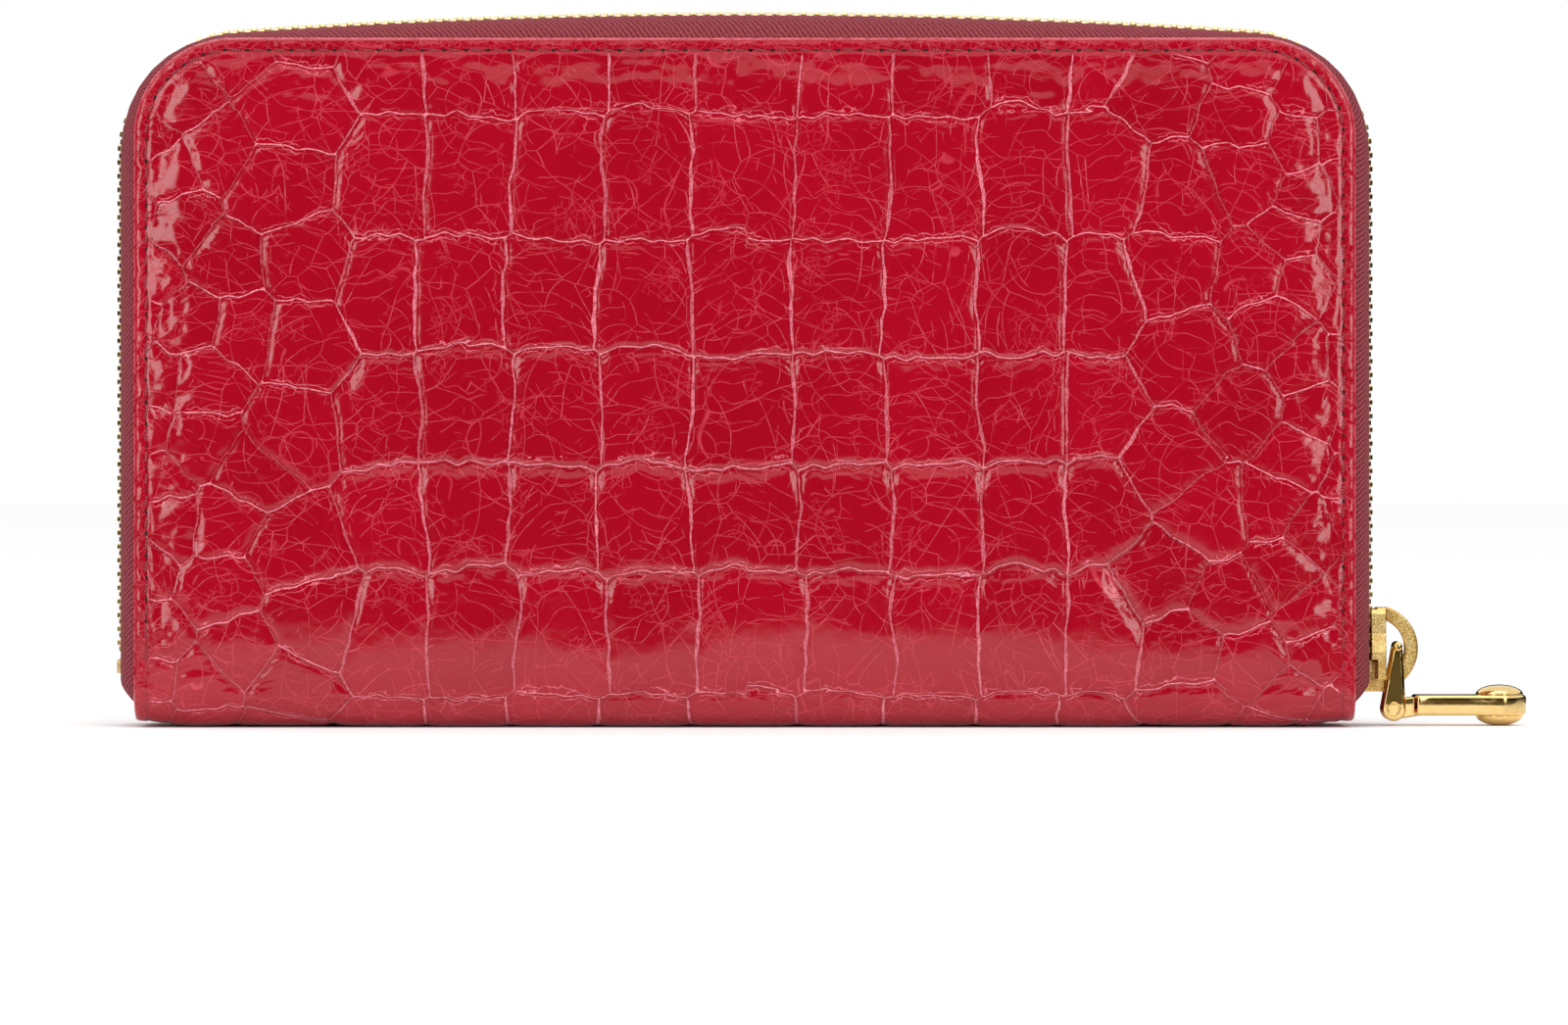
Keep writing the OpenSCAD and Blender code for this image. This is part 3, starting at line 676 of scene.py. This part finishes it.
def leather(name, side, seed, half, *nodes):
    """One half of the outer leather: cover, fold and half of the underside, with its turned edge."""
    rng = np.random.default_rng(seed)
    q_rows, wide = leather_rows()
    t = np.linspace(-1, 1, int(2 * HALF_W / LEATHER_STEP) - 4)
    rows, cols = len(q_rows), len(t)
    x = (t[None, :] * wide[:, None]).ravel()
    q = np.repeat(q_rows, cols)
    u, v = bent_sheet(x, q, seed, rng)
    seeds = plate_seeds(rng)
    field, own, upright, strength, top, level = plate_field(u, v, seeds, rng)
    ordered = smooth01((ORDERED_X - np.abs(x)) / 6)
    strength = np.where(upright > 0.6, strength, 0.5 + 0.5 * strength) * (0.5 + 0.5 * ordered)
    tone = rng.uniform(0, 1, len(seeds))[own]
    lift, depth = skin_height(x, q, seed, field, upright, top, ordered)
    y, z = fold_point(q, lift)
    # two points of each plate for its arcs to run round
    low_at = seeds + np.column_stack([rng.uniform(-4, 4, len(seeds)), rng.uniform(-11, -5, len(seeds))])
    high_at = seeds + np.column_stack([rng.uniform(-5, 5, len(seeds)), rng.uniform(4, 12, len(seeds))])
    ring_low = np.hypot(u - low_at[own, 0], v - low_at[own, 1])
    ring_high = np.hypot(u - high_at[own, 0], v - high_at[own, 1])
    verts = [np.column_stack([x, side * y, np.maximum(z, 0.0)])]
    # what the material reads: flat, cells, border, rings and rim
    data = [np.column_stack([x, q, tone, field, upright, strength, np.minimum(level, AWAY), ring_low, ring_high,
                             np.minimum(top, AWAY), depth])]
    # the edge that turns over: from the left end of the first row, up, over and down again
    edge = ([i * cols for i in range(rows)] + [(rows - 1) * cols + j for j in range(1, cols)]
            + [i * cols + cols - 1 for i in range(rows - 2, -1, -1)])
    n = len(edge)
    ex, eq = x[edge], q[edge]
    outer = np.abs(ex) > CORNER_X
    corner = outer & (eq > CORNER_Z)
    r = CORNER_R - RIM
    nx = np.where(corner, (np.abs(ex) - CORNER_X) / r, np.where(outer, 1.0, 0.0)) * np.sign(ex)
    nq = np.where(corner, (eq - CORNER_Z) / r, np.where(outer, 0.0, 1.0))
    for k in range(1, EDGE_TURNS + 1):
        a = math.pi * k / EDGE_TURNS
        out, drop = RIM * math.sin(a), RIM * (math.cos(a) - 1)
        py, pz = fold_point(eq, lift[edge] + drop)
        verts.append(np.column_stack([ex + nx * out, side * py, pz + nq * out]))
        plain = [0.5, AWAY, AWAY, AWAY, 0, 0, 0, AWAY, AWAY, AWAY, max(0.0, RIM - out) if k < EDGE_TURNS / 2 else 0.0]
        data.append(np.column_stack([ex + nx * (out - drop), eq + nq * (out - drop), np.tile(plain, (n, 1))]))
    i, j = np.meshgrid(np.arange(rows - 1), np.arange(cols - 1), indexing="ij")
    a = (i * cols + j).ravel()
    faces = np.column_stack([a, a + 1, a + cols + 1, a + cols]).tolist()
    ring = [edge] + [list(range(rows * cols + k * n, rows * cols + (k + 1) * n)) for k in range(EDGE_TURNS)]
    for near, far in zip(ring, ring[1:]):
        faces += [[near[m], far[m], far[m + 1], near[m + 1]] for m in range(n - 1)]
    last = ring[-1]
    left, right = last[:rows], last[::-1][:rows]
    faces += [[left[m], right[m], right[m + 1], left[m + 1]] for m in range(rows - 2)]
    faces.append([left[rows - 2], right[rows - 2]] + last[rows - 1:rows - 1 + cols][::-1])
    # the closed end under the spine
    faces.append([r[0] for r in ring] + [r[-1] for r in reversed(ring)] + list(range(cols - 2, 0, -1)))
    obj = outward(mesh_piece(name, np.concatenate(verts), faces, LEATHER))
    data = np.concatenate(data)
    for k, key in enumerate(("flat", "cells", "border", "rings")):
        point_data(obj, key, data[:, 3 * k:3 * k + 3])
    point_data(obj, "rim", data[:, 12])
    soft(obj, nodes)


leather("leather_front", -1, 11, "front_half", "cover_front", "spine_leather")
leather("leather_back", 1, 47, "back_half", "cover_back")


# ---- stitches ----
STITCH_LONG, STITCH_WIDE, STITCH_TALL = 1.18, 0.21, 0.20  # half length, half width, height
STITCH_SLANT = 0.16
STITCH_FROM_Z = 8
ROUND_STITCH = 8  # points round a stitch, and rings along it


def seam_line():
    """Places of the stitches along the inset line of a cover: x, z and direction."""
    sx, r = HALF_W - STITCH_IN, CORNER_R - STITCH_IN
    up, turn, across = CORNER_Z - STITCH_FROM_Z, r * math.pi / 2, CORNER_X
    half = up + turn + across

    def right(s):
        if s <= up:
            return sx, STITCH_FROM_Z + s, math.pi / 2
        if s <= up + turn:
            a = (s - up) / r
            return CORNER_X + r * math.cos(a), CORNER_Z + r * math.sin(a), a + math.pi / 2
        return CORNER_X - (s - up - turn), TOP - STITCH_IN, math.pi

    for k in range(int(2 * half / STITCH_PITCH)):
        s = STITCH_PITCH * (k + 0.5)
        if s <= half:
            yield right(s)
        else:
            px, pz, a = right(2 * half - s)
            yield -px, pz, math.pi - a


def stitch_template():
    """A stitch, slanted to its line, and beside it a dark disc, painted shade standing for the needle's hole: points,
    thread marks and faces.

    Each point is its place along the line, across it, and its height over the leather.
    """
    verts, marks = [], []
    turns = [(j / ROUND_STITCH, 2 * math.pi * j / ROUND_STITCH) for j in range(ROUND_STITCH)]
    for s in np.linspace(-1, 1, ROUND_STITCH + 1):
        swell = math.sqrt(max(0.0, 1 - s ** 4)) * 0.92 + 0.08
        for turn, b in turns:
            verts.append((STITCH_LONG * s, STITCH_WIDE * swell * math.cos(b) - STITCH_SLANT * s,
                          STITCH_TALL * swell * math.sin(b) - 0.30 * s ** 4))
            marks.append((s * STITCH_LONG, turn, 0))
    faces = tube_faces(0, ROUND_STITCH, ROUND_STITCH)
    hole_shade_faces = tube_faces(len(verts), ROUND_STITCH, 2)
    # painted shade: the hole is a near-black disc lying on the leather, not an opening
    for r, up in ((0.25, -0.1), (0.24, 0.05), (0.12, 0.085)):
        for turn, b in turns:
            verts.append((STITCH_PITCH / 2 + 1.5 * r * math.cos(b), r * math.sin(b), up))
            marks.append((0, turn, 0))
    return np.array(verts), np.array(marks), faces, hole_shade_faces


def stitches(name, side, half, *nodes):
    """Slanted stitches that lie on the leather, and dark discs between them, painted shade standing for the needle's
    holes.
    """
    shape, marks, faces, hole_shade_faces = stitch_template()
    spots = [(px, pz, a, HALF_Y - 0.97 - 0.55 * min(1.0, max(0.0, (17 - pz) / 11)) ** 2)
             for px, pz, a in seam_line()]
    obj = outward(mesh_piece(name, *copies(spots, shape, faces + hole_shade_faces, side), THREAD))
    obj.data.materials.append(HOLE_SHADE)
    for k, polygon in enumerate(obj.data.polygons):
        polygon.material_index = int(k % len(faces + hole_shade_faces) >= len(faces))
    point_data(obj, "weave", np.tile(marks, (len(spots), 1)))
    soft(obj, nodes)


stitches("stitches_front", -1, "front_half", "stitch_front")
stitches("stitches_back", 1, "back_half", "stitch_back")


# ---- main zip ----
TAPE_STEP = 0.8
TAPE_END_Z = 3.0
TURN_Z = 7.0  # below this the tape draws in towards the spine
FOLD_GAP = 0.55  # between the tape and the leather in the fold
TOOTH_HALF = 0.45  # half a tooth's thickness along the zip
# section of the tape: depth, share of the way to the sewn edge, and its thickness direction
SECTION = np.array([[0.95, 0, 1, 0], [5.2, 0, 1, 0], [6.8, 0.05, 0.95, 0.3], [8.3, 0.15, 0.8, 0.6],
                    [9.5, 0.3, 0.6, 0.8], [10.5, 0.5, 0.3, 0.95], [11, 0.72, 0, 1], [11, 1, 0, 1]])


def zip_line(s):
    """x, z and outward angle of the tape's middle line; s runs from the slider's side over the top.

    Below 0 and beyond the full length it goes on straight down.
    """
    if s > HALF_LEN:
        x, z, a = zip_line(FULL_LEN - s)
        return -x, z, math.pi - a
    if s <= LEN_A:
        return ZIP_X, SPLIT_Z + s, 0.0
    if s <= LEN_A + LEN_B:
        a = (s - LEN_A) / ZIP_R
        r = ZIP_R - TURN_IN * math.sin(math.pi * (s - LEN_A) / LEN_B) ** 2
        return ARC_CX + r * math.cos(a), ARC_CZ + r * math.sin(a), a
    a = PHI + (s - LEN_A - LEN_B) / ARCH_R
    return ARCH_R * math.cos(a), ARCH_Z + ARCH_R * math.sin(a), a


def sewn_line(s):
    """x and z of the sewn edge of the tape at the same place."""
    if s > HALF_LEN:
        x, z = sewn_line(FULL_LEN - s)
        return -x, z
    if s <= LEN_A:
        return SEW_X, SPLIT_Z + s * (CORNER_Z - SPLIT_Z) / LEN_A if s > 0 else SPLIT_Z + s
    if s <= LEN_A + LEN_B:
        a = (s - LEN_A) / LEN_B * math.pi / 2
        return CORNER_X + SEW_R * math.cos(a), CORNER_Z + SEW_R * math.sin(a)
    return CORNER_X * (HALF_LEN - s) / LEN_C, SEW_Z


def tape(name, side, half, *nodes):
    """One tape of the zip as a closed sheet, from the spine round the top and down to the spine."""
    cuts = np.concatenate([np.linspace(0, 1, 9), np.linspace(1, 7, 19)[1:]])
    sec = np.column_stack([np.interp(cuts, np.arange(len(SECTION)), SECTION[:, k]) for k in range(4)])
    low = SPLIT_Z - TAPE_END_Z
    places = np.arange(-low, FULL_LEN + low + TAPE_STEP / 2, TAPE_STEP)
    weave, outer, inner = [], [], []
    down = np.concatenate([[0], np.cumsum(np.hypot(np.diff(sec[:, 0]), np.diff(sec[:, 1]) * 5.4))])
    for s in places:
        px, pz, a = zip_line(s)
        qx, qz = sewn_line(s)
        nx, nz = math.cos(a), math.sin(a)
        pinch = 0.55 * min(1.0, max(0.0, TURN_Z - pz) / 4) ** 1.5
        at_corner = min(1.0, max(0.0, (min(s, FULL_LEN - s) - LEN_A) / LEN_B))
        for c, (y, share, across, along) in enumerate(sec):
            if y < 1 and pz <= 10.8:  # clear of the stops
                y = max(y, 1.35)
            share = pinch * (1 - share) + share
            if pz < FOLD_Z:
                reach = FOLD_Z - THICK
                y = min(y, HALF_Y - FOLD_Z + math.sqrt(reach ** 2 - (FOLD_Z - pz) ** 2) - FOLD_GAP)
            bulge = 0.95 * math.sin(math.pi * at_corner) ** 2 * math.exp(-((y - 6.5) / 2.4) ** 2)
            ripple = bulge + 0.06 * math.sin(s * 1.9 + c * 0.2) * smooth01((c - 6) / 8.0)
            bx, bz = px + (qx - px) * share, pz + (qz - pz) * share
            for skin, h in ((outer, TAPE_T / 2), (inner, -TAPE_T / 2)):
                shift = h * across + ripple * across
                skin.append((bx + shift * nx, side * (y + h * along), bz + shift * nz))
            weave.append((s, down[c], 0))
    faces = sheet_faces(len(places), len(sec))
    obj = outward(mesh_piece(name, outer + inner, faces, WEAVE))
    point_data(obj, "weave", weave + weave)
    soft(obj, nodes)


tape("tape_outer_front", -1, "front_half", "tape_front", "tape_end_front")
tape("tape_outer_back", 1, "back_half", "tape_back", "tape_end_back")


def tooth_template():
    """One tooth with softened edges: outward, along the zip, and depth towards its own tape."""
    bm = bmesh.new()
    # outline over depth (negative is towards its tape) and outward
    outline = [(-2.9, 0.55), (-2.9, -0.55), (-2.5, -0.98), (-0.9, -0.98), (-0.55, -0.8), (0.35, -0.72), (0.6, -0.45),
               (0.6, 0.45), (0.35, 0.72), (-0.55, 0.8), (-0.9, 0.98), (-2.5, 0.98)]
    low, high = ([bm.verts.new((x, r, y)) for y, r in outline] for x in (-TOOTH_HALF, TOOTH_HALF))
    bm.faces.new(low)
    bm.faces.new(high[::-1])
    for k in range(len(outline)):
        n = (k + 1) % len(outline)
        bm.faces.new([low[k], high[k], high[n], low[n]])
    bmesh.ops.recalc_face_normals(bm, faces=bm.faces)
    rims = [e for e in bm.edges if abs(e.verts[0].co.x - e.verts[1].co.x) < 1e-6]
    bmesh.ops.bevel(bm, geom=rims, offset=0.16, segments=2, profile=0.5, affect="EDGES")
    bm.verts.index_update()
    verts = np.array([(v.co.y, v.co.x, -v.co.z) for v in bm.verts])
    faces = [[v.index for v in f.verts] for f in bm.faces]
    bm.free()
    return verts, faces


def teeth(name, side, shift, half, *nodes):
    """One row of teeth along the whole zip, the short stretches beside the spine included."""
    spots = [(*zip_line(TOOTH_GAP * (i + shift) + TEETH_START), 0.0) for i in range(TEETH_COUNT)]
    end_teeth = 4
    for i in range(end_teeth):
        spots.append((ZIP_X, SPLIT_Z - TOOTH_GAP * (i + 1 - shift) + TEETH_START - 0.1, 0.0, 0.0))
        spots.append((-ZIP_X, SPLIT_Z - TOOTH_GAP * (i + shift) - TEETH_START, math.pi, 0.0))
    obj = outward(mesh_piece(name, *copies(spots, *tooth_template(), side), TEETH, smooth=False))
    soft(obj, nodes)


teeth("teeth_row_front", -1, 0.0, "front_half", "teeth_front", "teeth_end_front")
teeth("teeth_row_back", 1, 0.5, "back_half", "teeth_back", "teeth_end_back")


# ---- pull ----
def arc_points(cx, cz, r, a0, a1, n):
    """n + 1 points of an arc, both ends included."""
    return [(cx + r * math.cos(a0 + (a1 - a0) * k / n), cz + r * math.sin(a0 + (a1 - a0) * k / n))
            for k in range(n + 1)]


def circle(r, n):
    return arc_points(0, 0, r, 0, 2 * math.pi, n)[:-1]


def offset_outline(points, amount):
    """The closed outline moved inward by amount; it runs anticlockwise."""
    points = np.array(points)
    ways = [points - np.roll(points, 1, axis=0), np.roll(points, -1, axis=0) - points]
    before, after = (np.column_stack([-way[:, 1], way[:, 0]]) / np.hypot(*way.T)[:, None] for way in ways)
    inward = (before + after) / np.hypot(*(before + after).T)[:, None]
    return points + inward * amount / np.maximum(0.5, (inward * before).sum(1))[:, None]


def prism(outline, lo, hi, round_by, place, steps=4):
    """Plate with rounded rims. place turns (a, b, t) into x, y, z; t runs from lo to hi."""
    loops = []
    for k in range(steps + 1):
        a = math.pi / 2 * k / steps
        loops.append((round_by * (1 - math.sin(a)), lo + round_by * (1 - math.cos(a))))
    loops += [(inset, hi + lo - t) for inset, t in reversed(loops)]
    verts = []
    for inset, t in loops:
        verts += [place(a, b, t) for a, b in (offset_outline(outline, inset) if inset > 1e-9 else outline)]
    return verts, tube_faces(0, len(outline), len(loops) - 1)


def lathe(profile, place, n):
    """Solid of revolution; profile is (radius, height) from one end of the axis to the other."""
    verts, faces, rows = [], [], []
    for r, h in profile:
        rows.append(len(verts))
        verts += [place(a, b, h) for a, b in circle(r, n)] if r > 1e-9 else [place(0, 0, h)]
    for i in range(len(profile) - 1):
        a, b = rows[i], rows[i + 1]
        for k in range(n):
            j = (k + 1) % n
            if profile[i][0] < 1e-9:
                faces.append([a, b + j, b + k])
            elif profile[i + 1][0] < 1e-9:
                faces.append([a + k, a + j, b])
            else:
                faces.append([a + k, a + j, b + j, b + k])
    return verts, faces


def metal(name, parts, material, slot, body, *nodes):
    """A rigid metal piece made of several closed shapes."""
    verts, faces = [], []
    for part_verts, part_faces in parts:
        first = len(verts)
        verts += part_verts
        faces += [[first + k for k in face] for face in part_faces]
    obj = outward(mesh_piece(name, verts, faces, material))
    obj.modifiers.new("even_shading", "WEIGHTED_NORMAL").weight = 60
    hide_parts(*nodes)
    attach(obj, body)


def flat_in_y(a, b, t):
    return a, t, b


def flat_in_z(a, b, t):
    return a, b, t


def round_y(cx, cz):
    """Places a lathe's points round an axis along y."""
    return lambda a, b, h: (cx + a, h, cz + b)


def both_ends(profile):
    """The profile from its lower end to the middle, mirrored on to the upper end."""
    return profile + [(r, -h) for r, h in reversed(profile)]


sh_lo, sh_hi = box_mm("shackle")
pin_lo, pin_hi = box_mm("shackle_pin")
stud_lo, stud_hi = box_mm("pull_stud")
_, bar_hi = box_mm("pull_bar")
PIN_X, PIN_Z = (pin_lo[0] + pin_hi[0]) / 2, (pin_lo[2] + pin_hi[2]) / 2
EAR_R = PIN_Z - sh_lo[2]
EAR_OUT, EAR_IN = sh_hi[1], 1.6
EAR_ROUND = 0.5
TOP_R = 0.75  # of the shackle's top bar, which hangs in the slider's bridge
BAR_X, BAR_Z = 102.15, sh_hi[2] - TOP_R


def ear_outline():
    """Outline of one of the shackle's two ears: wide at the pin, narrow at the top bar."""
    dx, dz = BAR_X - PIN_X, BAR_Z - PIN_Z
    lean = math.atan2(dz, dx)
    side = math.acos((EAR_R - TOP_R) / math.hypot(dx, dz))
    return (arc_points(PIN_X, PIN_Z, EAR_R, lean + side, lean + 2 * math.pi - side, 30)
            + arc_points(BAR_X, BAR_Z, TOP_R, lean - side, lean + side, 12))


knob = [(TOP_R * math.sin(t), EAR_OUT - 0.15 + 0.45 * math.cos(t)) for t in np.linspace(0, math.pi / 2, 9)]
metal("shackle_polished",
      [prism(ear_outline(), EAR_IN, EAR_OUT, EAR_ROUND, flat_in_y, 6),
       prism(ear_outline(), -EAR_OUT, -EAR_IN, EAR_ROUND, flat_in_y, 6),
       lathe(both_ends([(r, -h) for r, h in knob]), round_y(BAR_X, BAR_Z), 28)],
      POLISHED, "polished_gold", "puller_shackle", "shackle")

# pin with a raised ring round its sunk end, on both sides
pin_end = [(0, 0.12), (0.72, 0.12), (0.80, -0.02), (0.90, -0.12), (1.06, -0.12), (1.16, 0.02), (1.16, 0.3), (0.78, 0.3)]
metal("pin_polished", [lathe(both_ends([(r, h - EAR_OUT) for r, h in pin_end]), round_y(PIN_X, PIN_Z), 32)],
      POLISHED, "polished_gold", "puller_shackle", "shackle_pin")
# wedge between the slider's plates, seen at the open ends of its slot; its dark brass is painted shade, as the slot
# lies in shadow
metal("slider_wedge", [prism([(97.55, 9.7), (98.75, 9.7), (98.75, 11.4), (97.55, 11.4)], -0.6, 0.6, 0.1, flat_in_y)],
      DARK_BRASS_AND_SHADE, "satin_gold", "zip_slider")
# darker ends of the pin inside its rings
sunk_r, sunk_from, sunk_to = 0.70, EAR_OUT - 0.10, EAR_OUT - 0.4
metal("pin_ends",
      [lathe([(0, s * sunk_from), (sunk_r, s * sunk_from), (sunk_r, s * sunk_to), (0, s * sunk_to)],
             round_y(PIN_X, PIN_Z), 24) for s in (1, -1)],
      DARK_BRASS_AND_SHADE, "polished_gold", "puller_shackle")

STUD_X = (stud_lo[0] + stud_hi[0]) / 2
RING_R = bar_hi[0] - STUD_X
BAR_LOW, BAR_HIGH = 1.6, bar_hi[2]
side_line = [(104.6, 3.5), (105.6, 3.36), (107, 3.22), (108.5, 3.10), (110, 3.05), (111.5, 3.07), (113, 3.18),
             (114.5, 3.42), (116, 3.76), (117.2, 4.05)]
plan = ([(x, -y) for x, y in side_line] + arc_points(STUD_X, 0, RING_R, -math.pi / 2, math.pi / 2, 36)
        + side_line[::-1])
tongue = [(PIN_X, 1.05), (103.4, 1.15), (106.4, 1.72), (106.4, 4.55), (104.2, 4.45), (103.0, 4.25), (PIN_X, 4.1)]
eye = arc_points(PIN_X, PIN_Z, 1.6, 0, 2 * math.pi, 32)[:-1]
metal("bar_polished",
      [prism(plan, BAR_LOW, BAR_HIGH, 0.55, flat_in_z), prism(tongue, -1.35, 1.35, 0.3, flat_in_y),
       prism(eye, -1.3, 1.3, 0.2, flat_in_y)],
      POLISHED, "polished_gold", "puller_bar", "pull_bar")

cap_r, cap_h = (stud_hi[0] - stud_lo[0]) / 2, stud_hi[2] - BAR_HIGH
neck_r = cap_r * 0.94
dome = [(cap_r * math.sin(t), cap_h * math.cos(t)) for t in np.linspace(0, math.pi / 2, 14)]
stud_profile = [(0, stud_lo[2])] + [(r, BAR_LOW - h) for r, h in dome[1:]]
stud_profile += [(neck_r, BAR_LOW + 0.03), (neck_r, BAR_HIGH - 0.03)]
stud_profile += [(r, BAR_HIGH + h) for r, h in reversed(dome[1:])] + [(0, stud_hi[2])]
metal("stud_polished", [lathe(stud_profile, lambda a, b, h: (STUD_X + a, b, h), 56)],
      POLISHED, "polished_gold", "puller_bar", "pull_stud")


# ---- side gussets, which open between the coin pocket and the lining ----
GUSSET_FOLD = [(89.65, 10.28), (89.65, 8.9), (89.2, 7.75), (86.2, 6.95), (82.6, 6.15), (81.0, 5.75), (82.4, 5.2),
               (84.6, 4.4), (85.8, 3.8), (84.9, 3.58)]
GUSSET_ROWS = 41
GUSSET_HALF_T = 0.17


def smooth_path(points, per_piece=4):
    """The points joined by a smooth curve that passes through them."""
    padded = np.array([points[0], *points, points[-1]])
    k = np.arange((len(points) - 1) * per_piece + 1)
    i = np.minimum(k // per_piece, len(points) - 2)
    f = (k / per_piece - i)[:, None]
    p0, p1, p2, p3 = (padded[i + n] for n in range(4))
    return 0.5 * (2 * p1 + (p2 - p0) * f + (2 * p0 - 5 * p1 + 4 * p2 - p3) * f * f
                  + (3 * p1 - p0 - 3 * p2 + p3) * f ** 3)


def gusset(name, side, hand, *nodes):
    """A folded leather wall; side is -1 for the front half, hand is 1 at the zip pull's end."""
    lo, hi = box_mm(nodes[0])
    line = smooth_path(GUSSET_FOLD)
    tangent = np.gradient(line, axis=0)
    tangent /= np.hypot(tangent[:, 0], tangent[:, 1])[:, None]
    normal = np.column_stack([-tangent[:, 1], tangent[:, 0]])
    z = np.repeat(np.linspace(lo[2], hi[2], GUSSET_ROWS), len(line))
    skins = [np.tile((line + off * normal) * (hand, side), (GUSSET_ROWS, 1)) for off in (GUSSET_HALF_T, -GUSSET_HALF_T)]
    verts = np.concatenate([np.column_stack([skin, z]) for skin in skins])
    obj = outward(mesh_piece(name, verts, sheet_faces(GUSSET_ROWS, len(line)), INNER))
    soft(obj, nodes)


for side, word in ((-1, "front"), (1, "back")):
    for hand, way in ((-1, "left"), (1, "right")):
        gusset(f"side_fold_{word}_{way}", side, hand, f"gusset_{word}_{way}")


# ---- solids that stay, with softened edges and a finish for each slot ----
FINISH = {"leather": INNER, "inner_leather": INNER, "zip_cloth": CLOTH, "thread": THREAD, "board": BOARD,
          "teeth_metal": TEETH, "satin_gold": SATIN, "polished_gold": POLISHED}
ROUND = {"satin_gold": 0.30, "polished_gold": 0.42, "teeth_metal": 0.12, "inner_leather": 0.22, "board": 0.1,
         "zip_cloth": 0.05, "leather": 0.3}
slots = {row["node"]: row["material_slot"] for row in frame["record"]["subparts"]}
for node, obj in frame["nodes"].items():
    slot = slots[node]
    obj.data.materials.clear()
    obj.data.materials.append(FINISH[slot])
    if slot in ROUND and obj.data.polygons:
        obj.modifiers.new("weld", "WELD").merge_threshold = 1e-6
        flat = obj.modifiers.new("flat", "DECIMATE")
        flat.decimate_type = "DISSOLVE"
        flat.angle_limit = math.radians(1)
        bevel = obj.modifiers.new("soft_edges", "BEVEL")
        bevel.width = ROUND[slot] * MM
        bevel.segments = 2
        bevel.limit_method = "ANGLE"
        bevel.angle_limit = math.radians(35)
        bevel.harden_normals = False
        obj.modifiers.new("even_shading", "WEIGHTED_NORMAL").keep_sharp = True


# ---- stage, camera and light ----
def matte(name, colour):
    """A stage material without any shine."""
    m = Nodes(name)
    return m.finish(Base_Color=colour, Roughness=1.0, Specular_IOR_Level=0.0)


def stage_floor():
    size = 3000
    corners = [(-size, -size, 0), (size, -size, 0), (size, size, 0), (-size, size, 0)]
    mesh_piece("floor", corners, [(0, 1, 2, 3)], matte("floor_white", (0.97, 0.967, 0.97)), smooth=False)


def area(name, where, at, wide, high, power):
    light = bpy.data.lights.new(name, "AREA")
    light.shape = "RECTANGLE"
    light.size, light.size_y = wide, high
    light.energy = power
    obj = link(bpy.data.objects.new(name, light))
    obj.location = where
    obj.rotation_euler = (Vector(at) - Vector(where)).to_track_quat("-Z", "Y").to_euler()


def only_reflected(obj):
    """Hides a stage piece from everything but reflections."""
    obj.visible_camera = False
    obj.visible_diffuse = False
    obj.visible_shadow = False
    obj.visible_transmission = False


def dark_band():
    """Black cards round the horizon that only reflections see, as a studio's dark room would be."""
    n, low, near, fade_end, far, high = 48, 2, 120, 270, 1900, 700
    verts, faces = [], []
    for r, z in ((near, low), (far, low), (far, high)):
        verts += [(a, b, z) for a, b in circle(r, n)]
    for ring in range(2):
        inner, outer = ring * n, (ring + 1) * n
        faces += [(inner + k, inner + (k + 1) % n, outer + (k + 1) % n, outer + k) for k in range(n)]
    m = Nodes("dark_card")
    x, y, _ = m.split(m.position())
    away = m.math("SQRT", m.plus(m.times(x, x), m.times(y, y)))
    shade = m.math("DIVIDE", m.minus(away, near), fade_end - near, clamp=True)
    m.finish(Base_Color=m.mix(shade, (0.85, 0.85, 0.85), (0.004, 0.004, 0.004)), Roughness=1.0, Specular_IOR_Level=0.0)
    only_reflected(mesh_piece("dark_band", verts, faces, m.mat, smooth=False))


def pull_card():
    """A grey card on the floor in front of the pull and one behind it, for contrast in the metal."""
    x0, x1, near, far, z = HALF_W + 4, HALF_W + 75, 12, 310, 3
    verts = [(x, sign * y, z) for sign in (-1, 1) for x, y in ((x0, near), (x1, near), (x1, far), (x0, far))]
    grey = matte("grey_card", (0.10, 0.09, 0.055))
    only_reflected(mesh_piece("pull_card", verts, [(0, 1, 2, 3), (4, 5, 6, 7)], grey, smooth=False))


stage_floor()
pull_card()
dark_band()
world = bpy.data.worlds.new("studio")
bpy.context.scene.world = world
world.use_nodes = True
background = world.node_tree.nodes["Background"]
background.inputs[0].default_value = (1, 1, 1, 1)
background.inputs[1].default_value = 1.0
area("over", (0.0, -0.25, 0.9), (0, 0, 0.05), 1.0, 0.5, 3)
area("left", (-0.52, -1.05, 0.15), (-0.05, 0, 0.05), 0.22, 0.7, 2.2)
area("right", (0.52, -1.05, 0.15), (0.05, 0, 0.05), 0.22, 0.7, 2.2)
bpy.context.scene.view_settings.view_transform = "Standard"

SENSOR = 36.0
VIEW_W = 0.2434  # width of the view at the front cover
DISTANCE = 1.3
EYE_Z = 0.050
MIDDLE_X, MIDDLE_Z = 0.0061, 0.0335
cam = bpy.data.cameras.new("camera")
cam.sensor_width = SENSOR
cam.lens = SENSOR * DISTANCE / VIEW_W
cam.shift_y = (MIDDLE_Z - EYE_Z) / VIEW_W
camera = link(bpy.data.objects.new("camera", cam))
camera.location = (MIDDLE_X, -(DISTANCE + HALF_Y * MM), EYE_Z)
camera.rotation_euler = (math.pi / 2, 0, 0)
bpy.context.scene.camera = camera
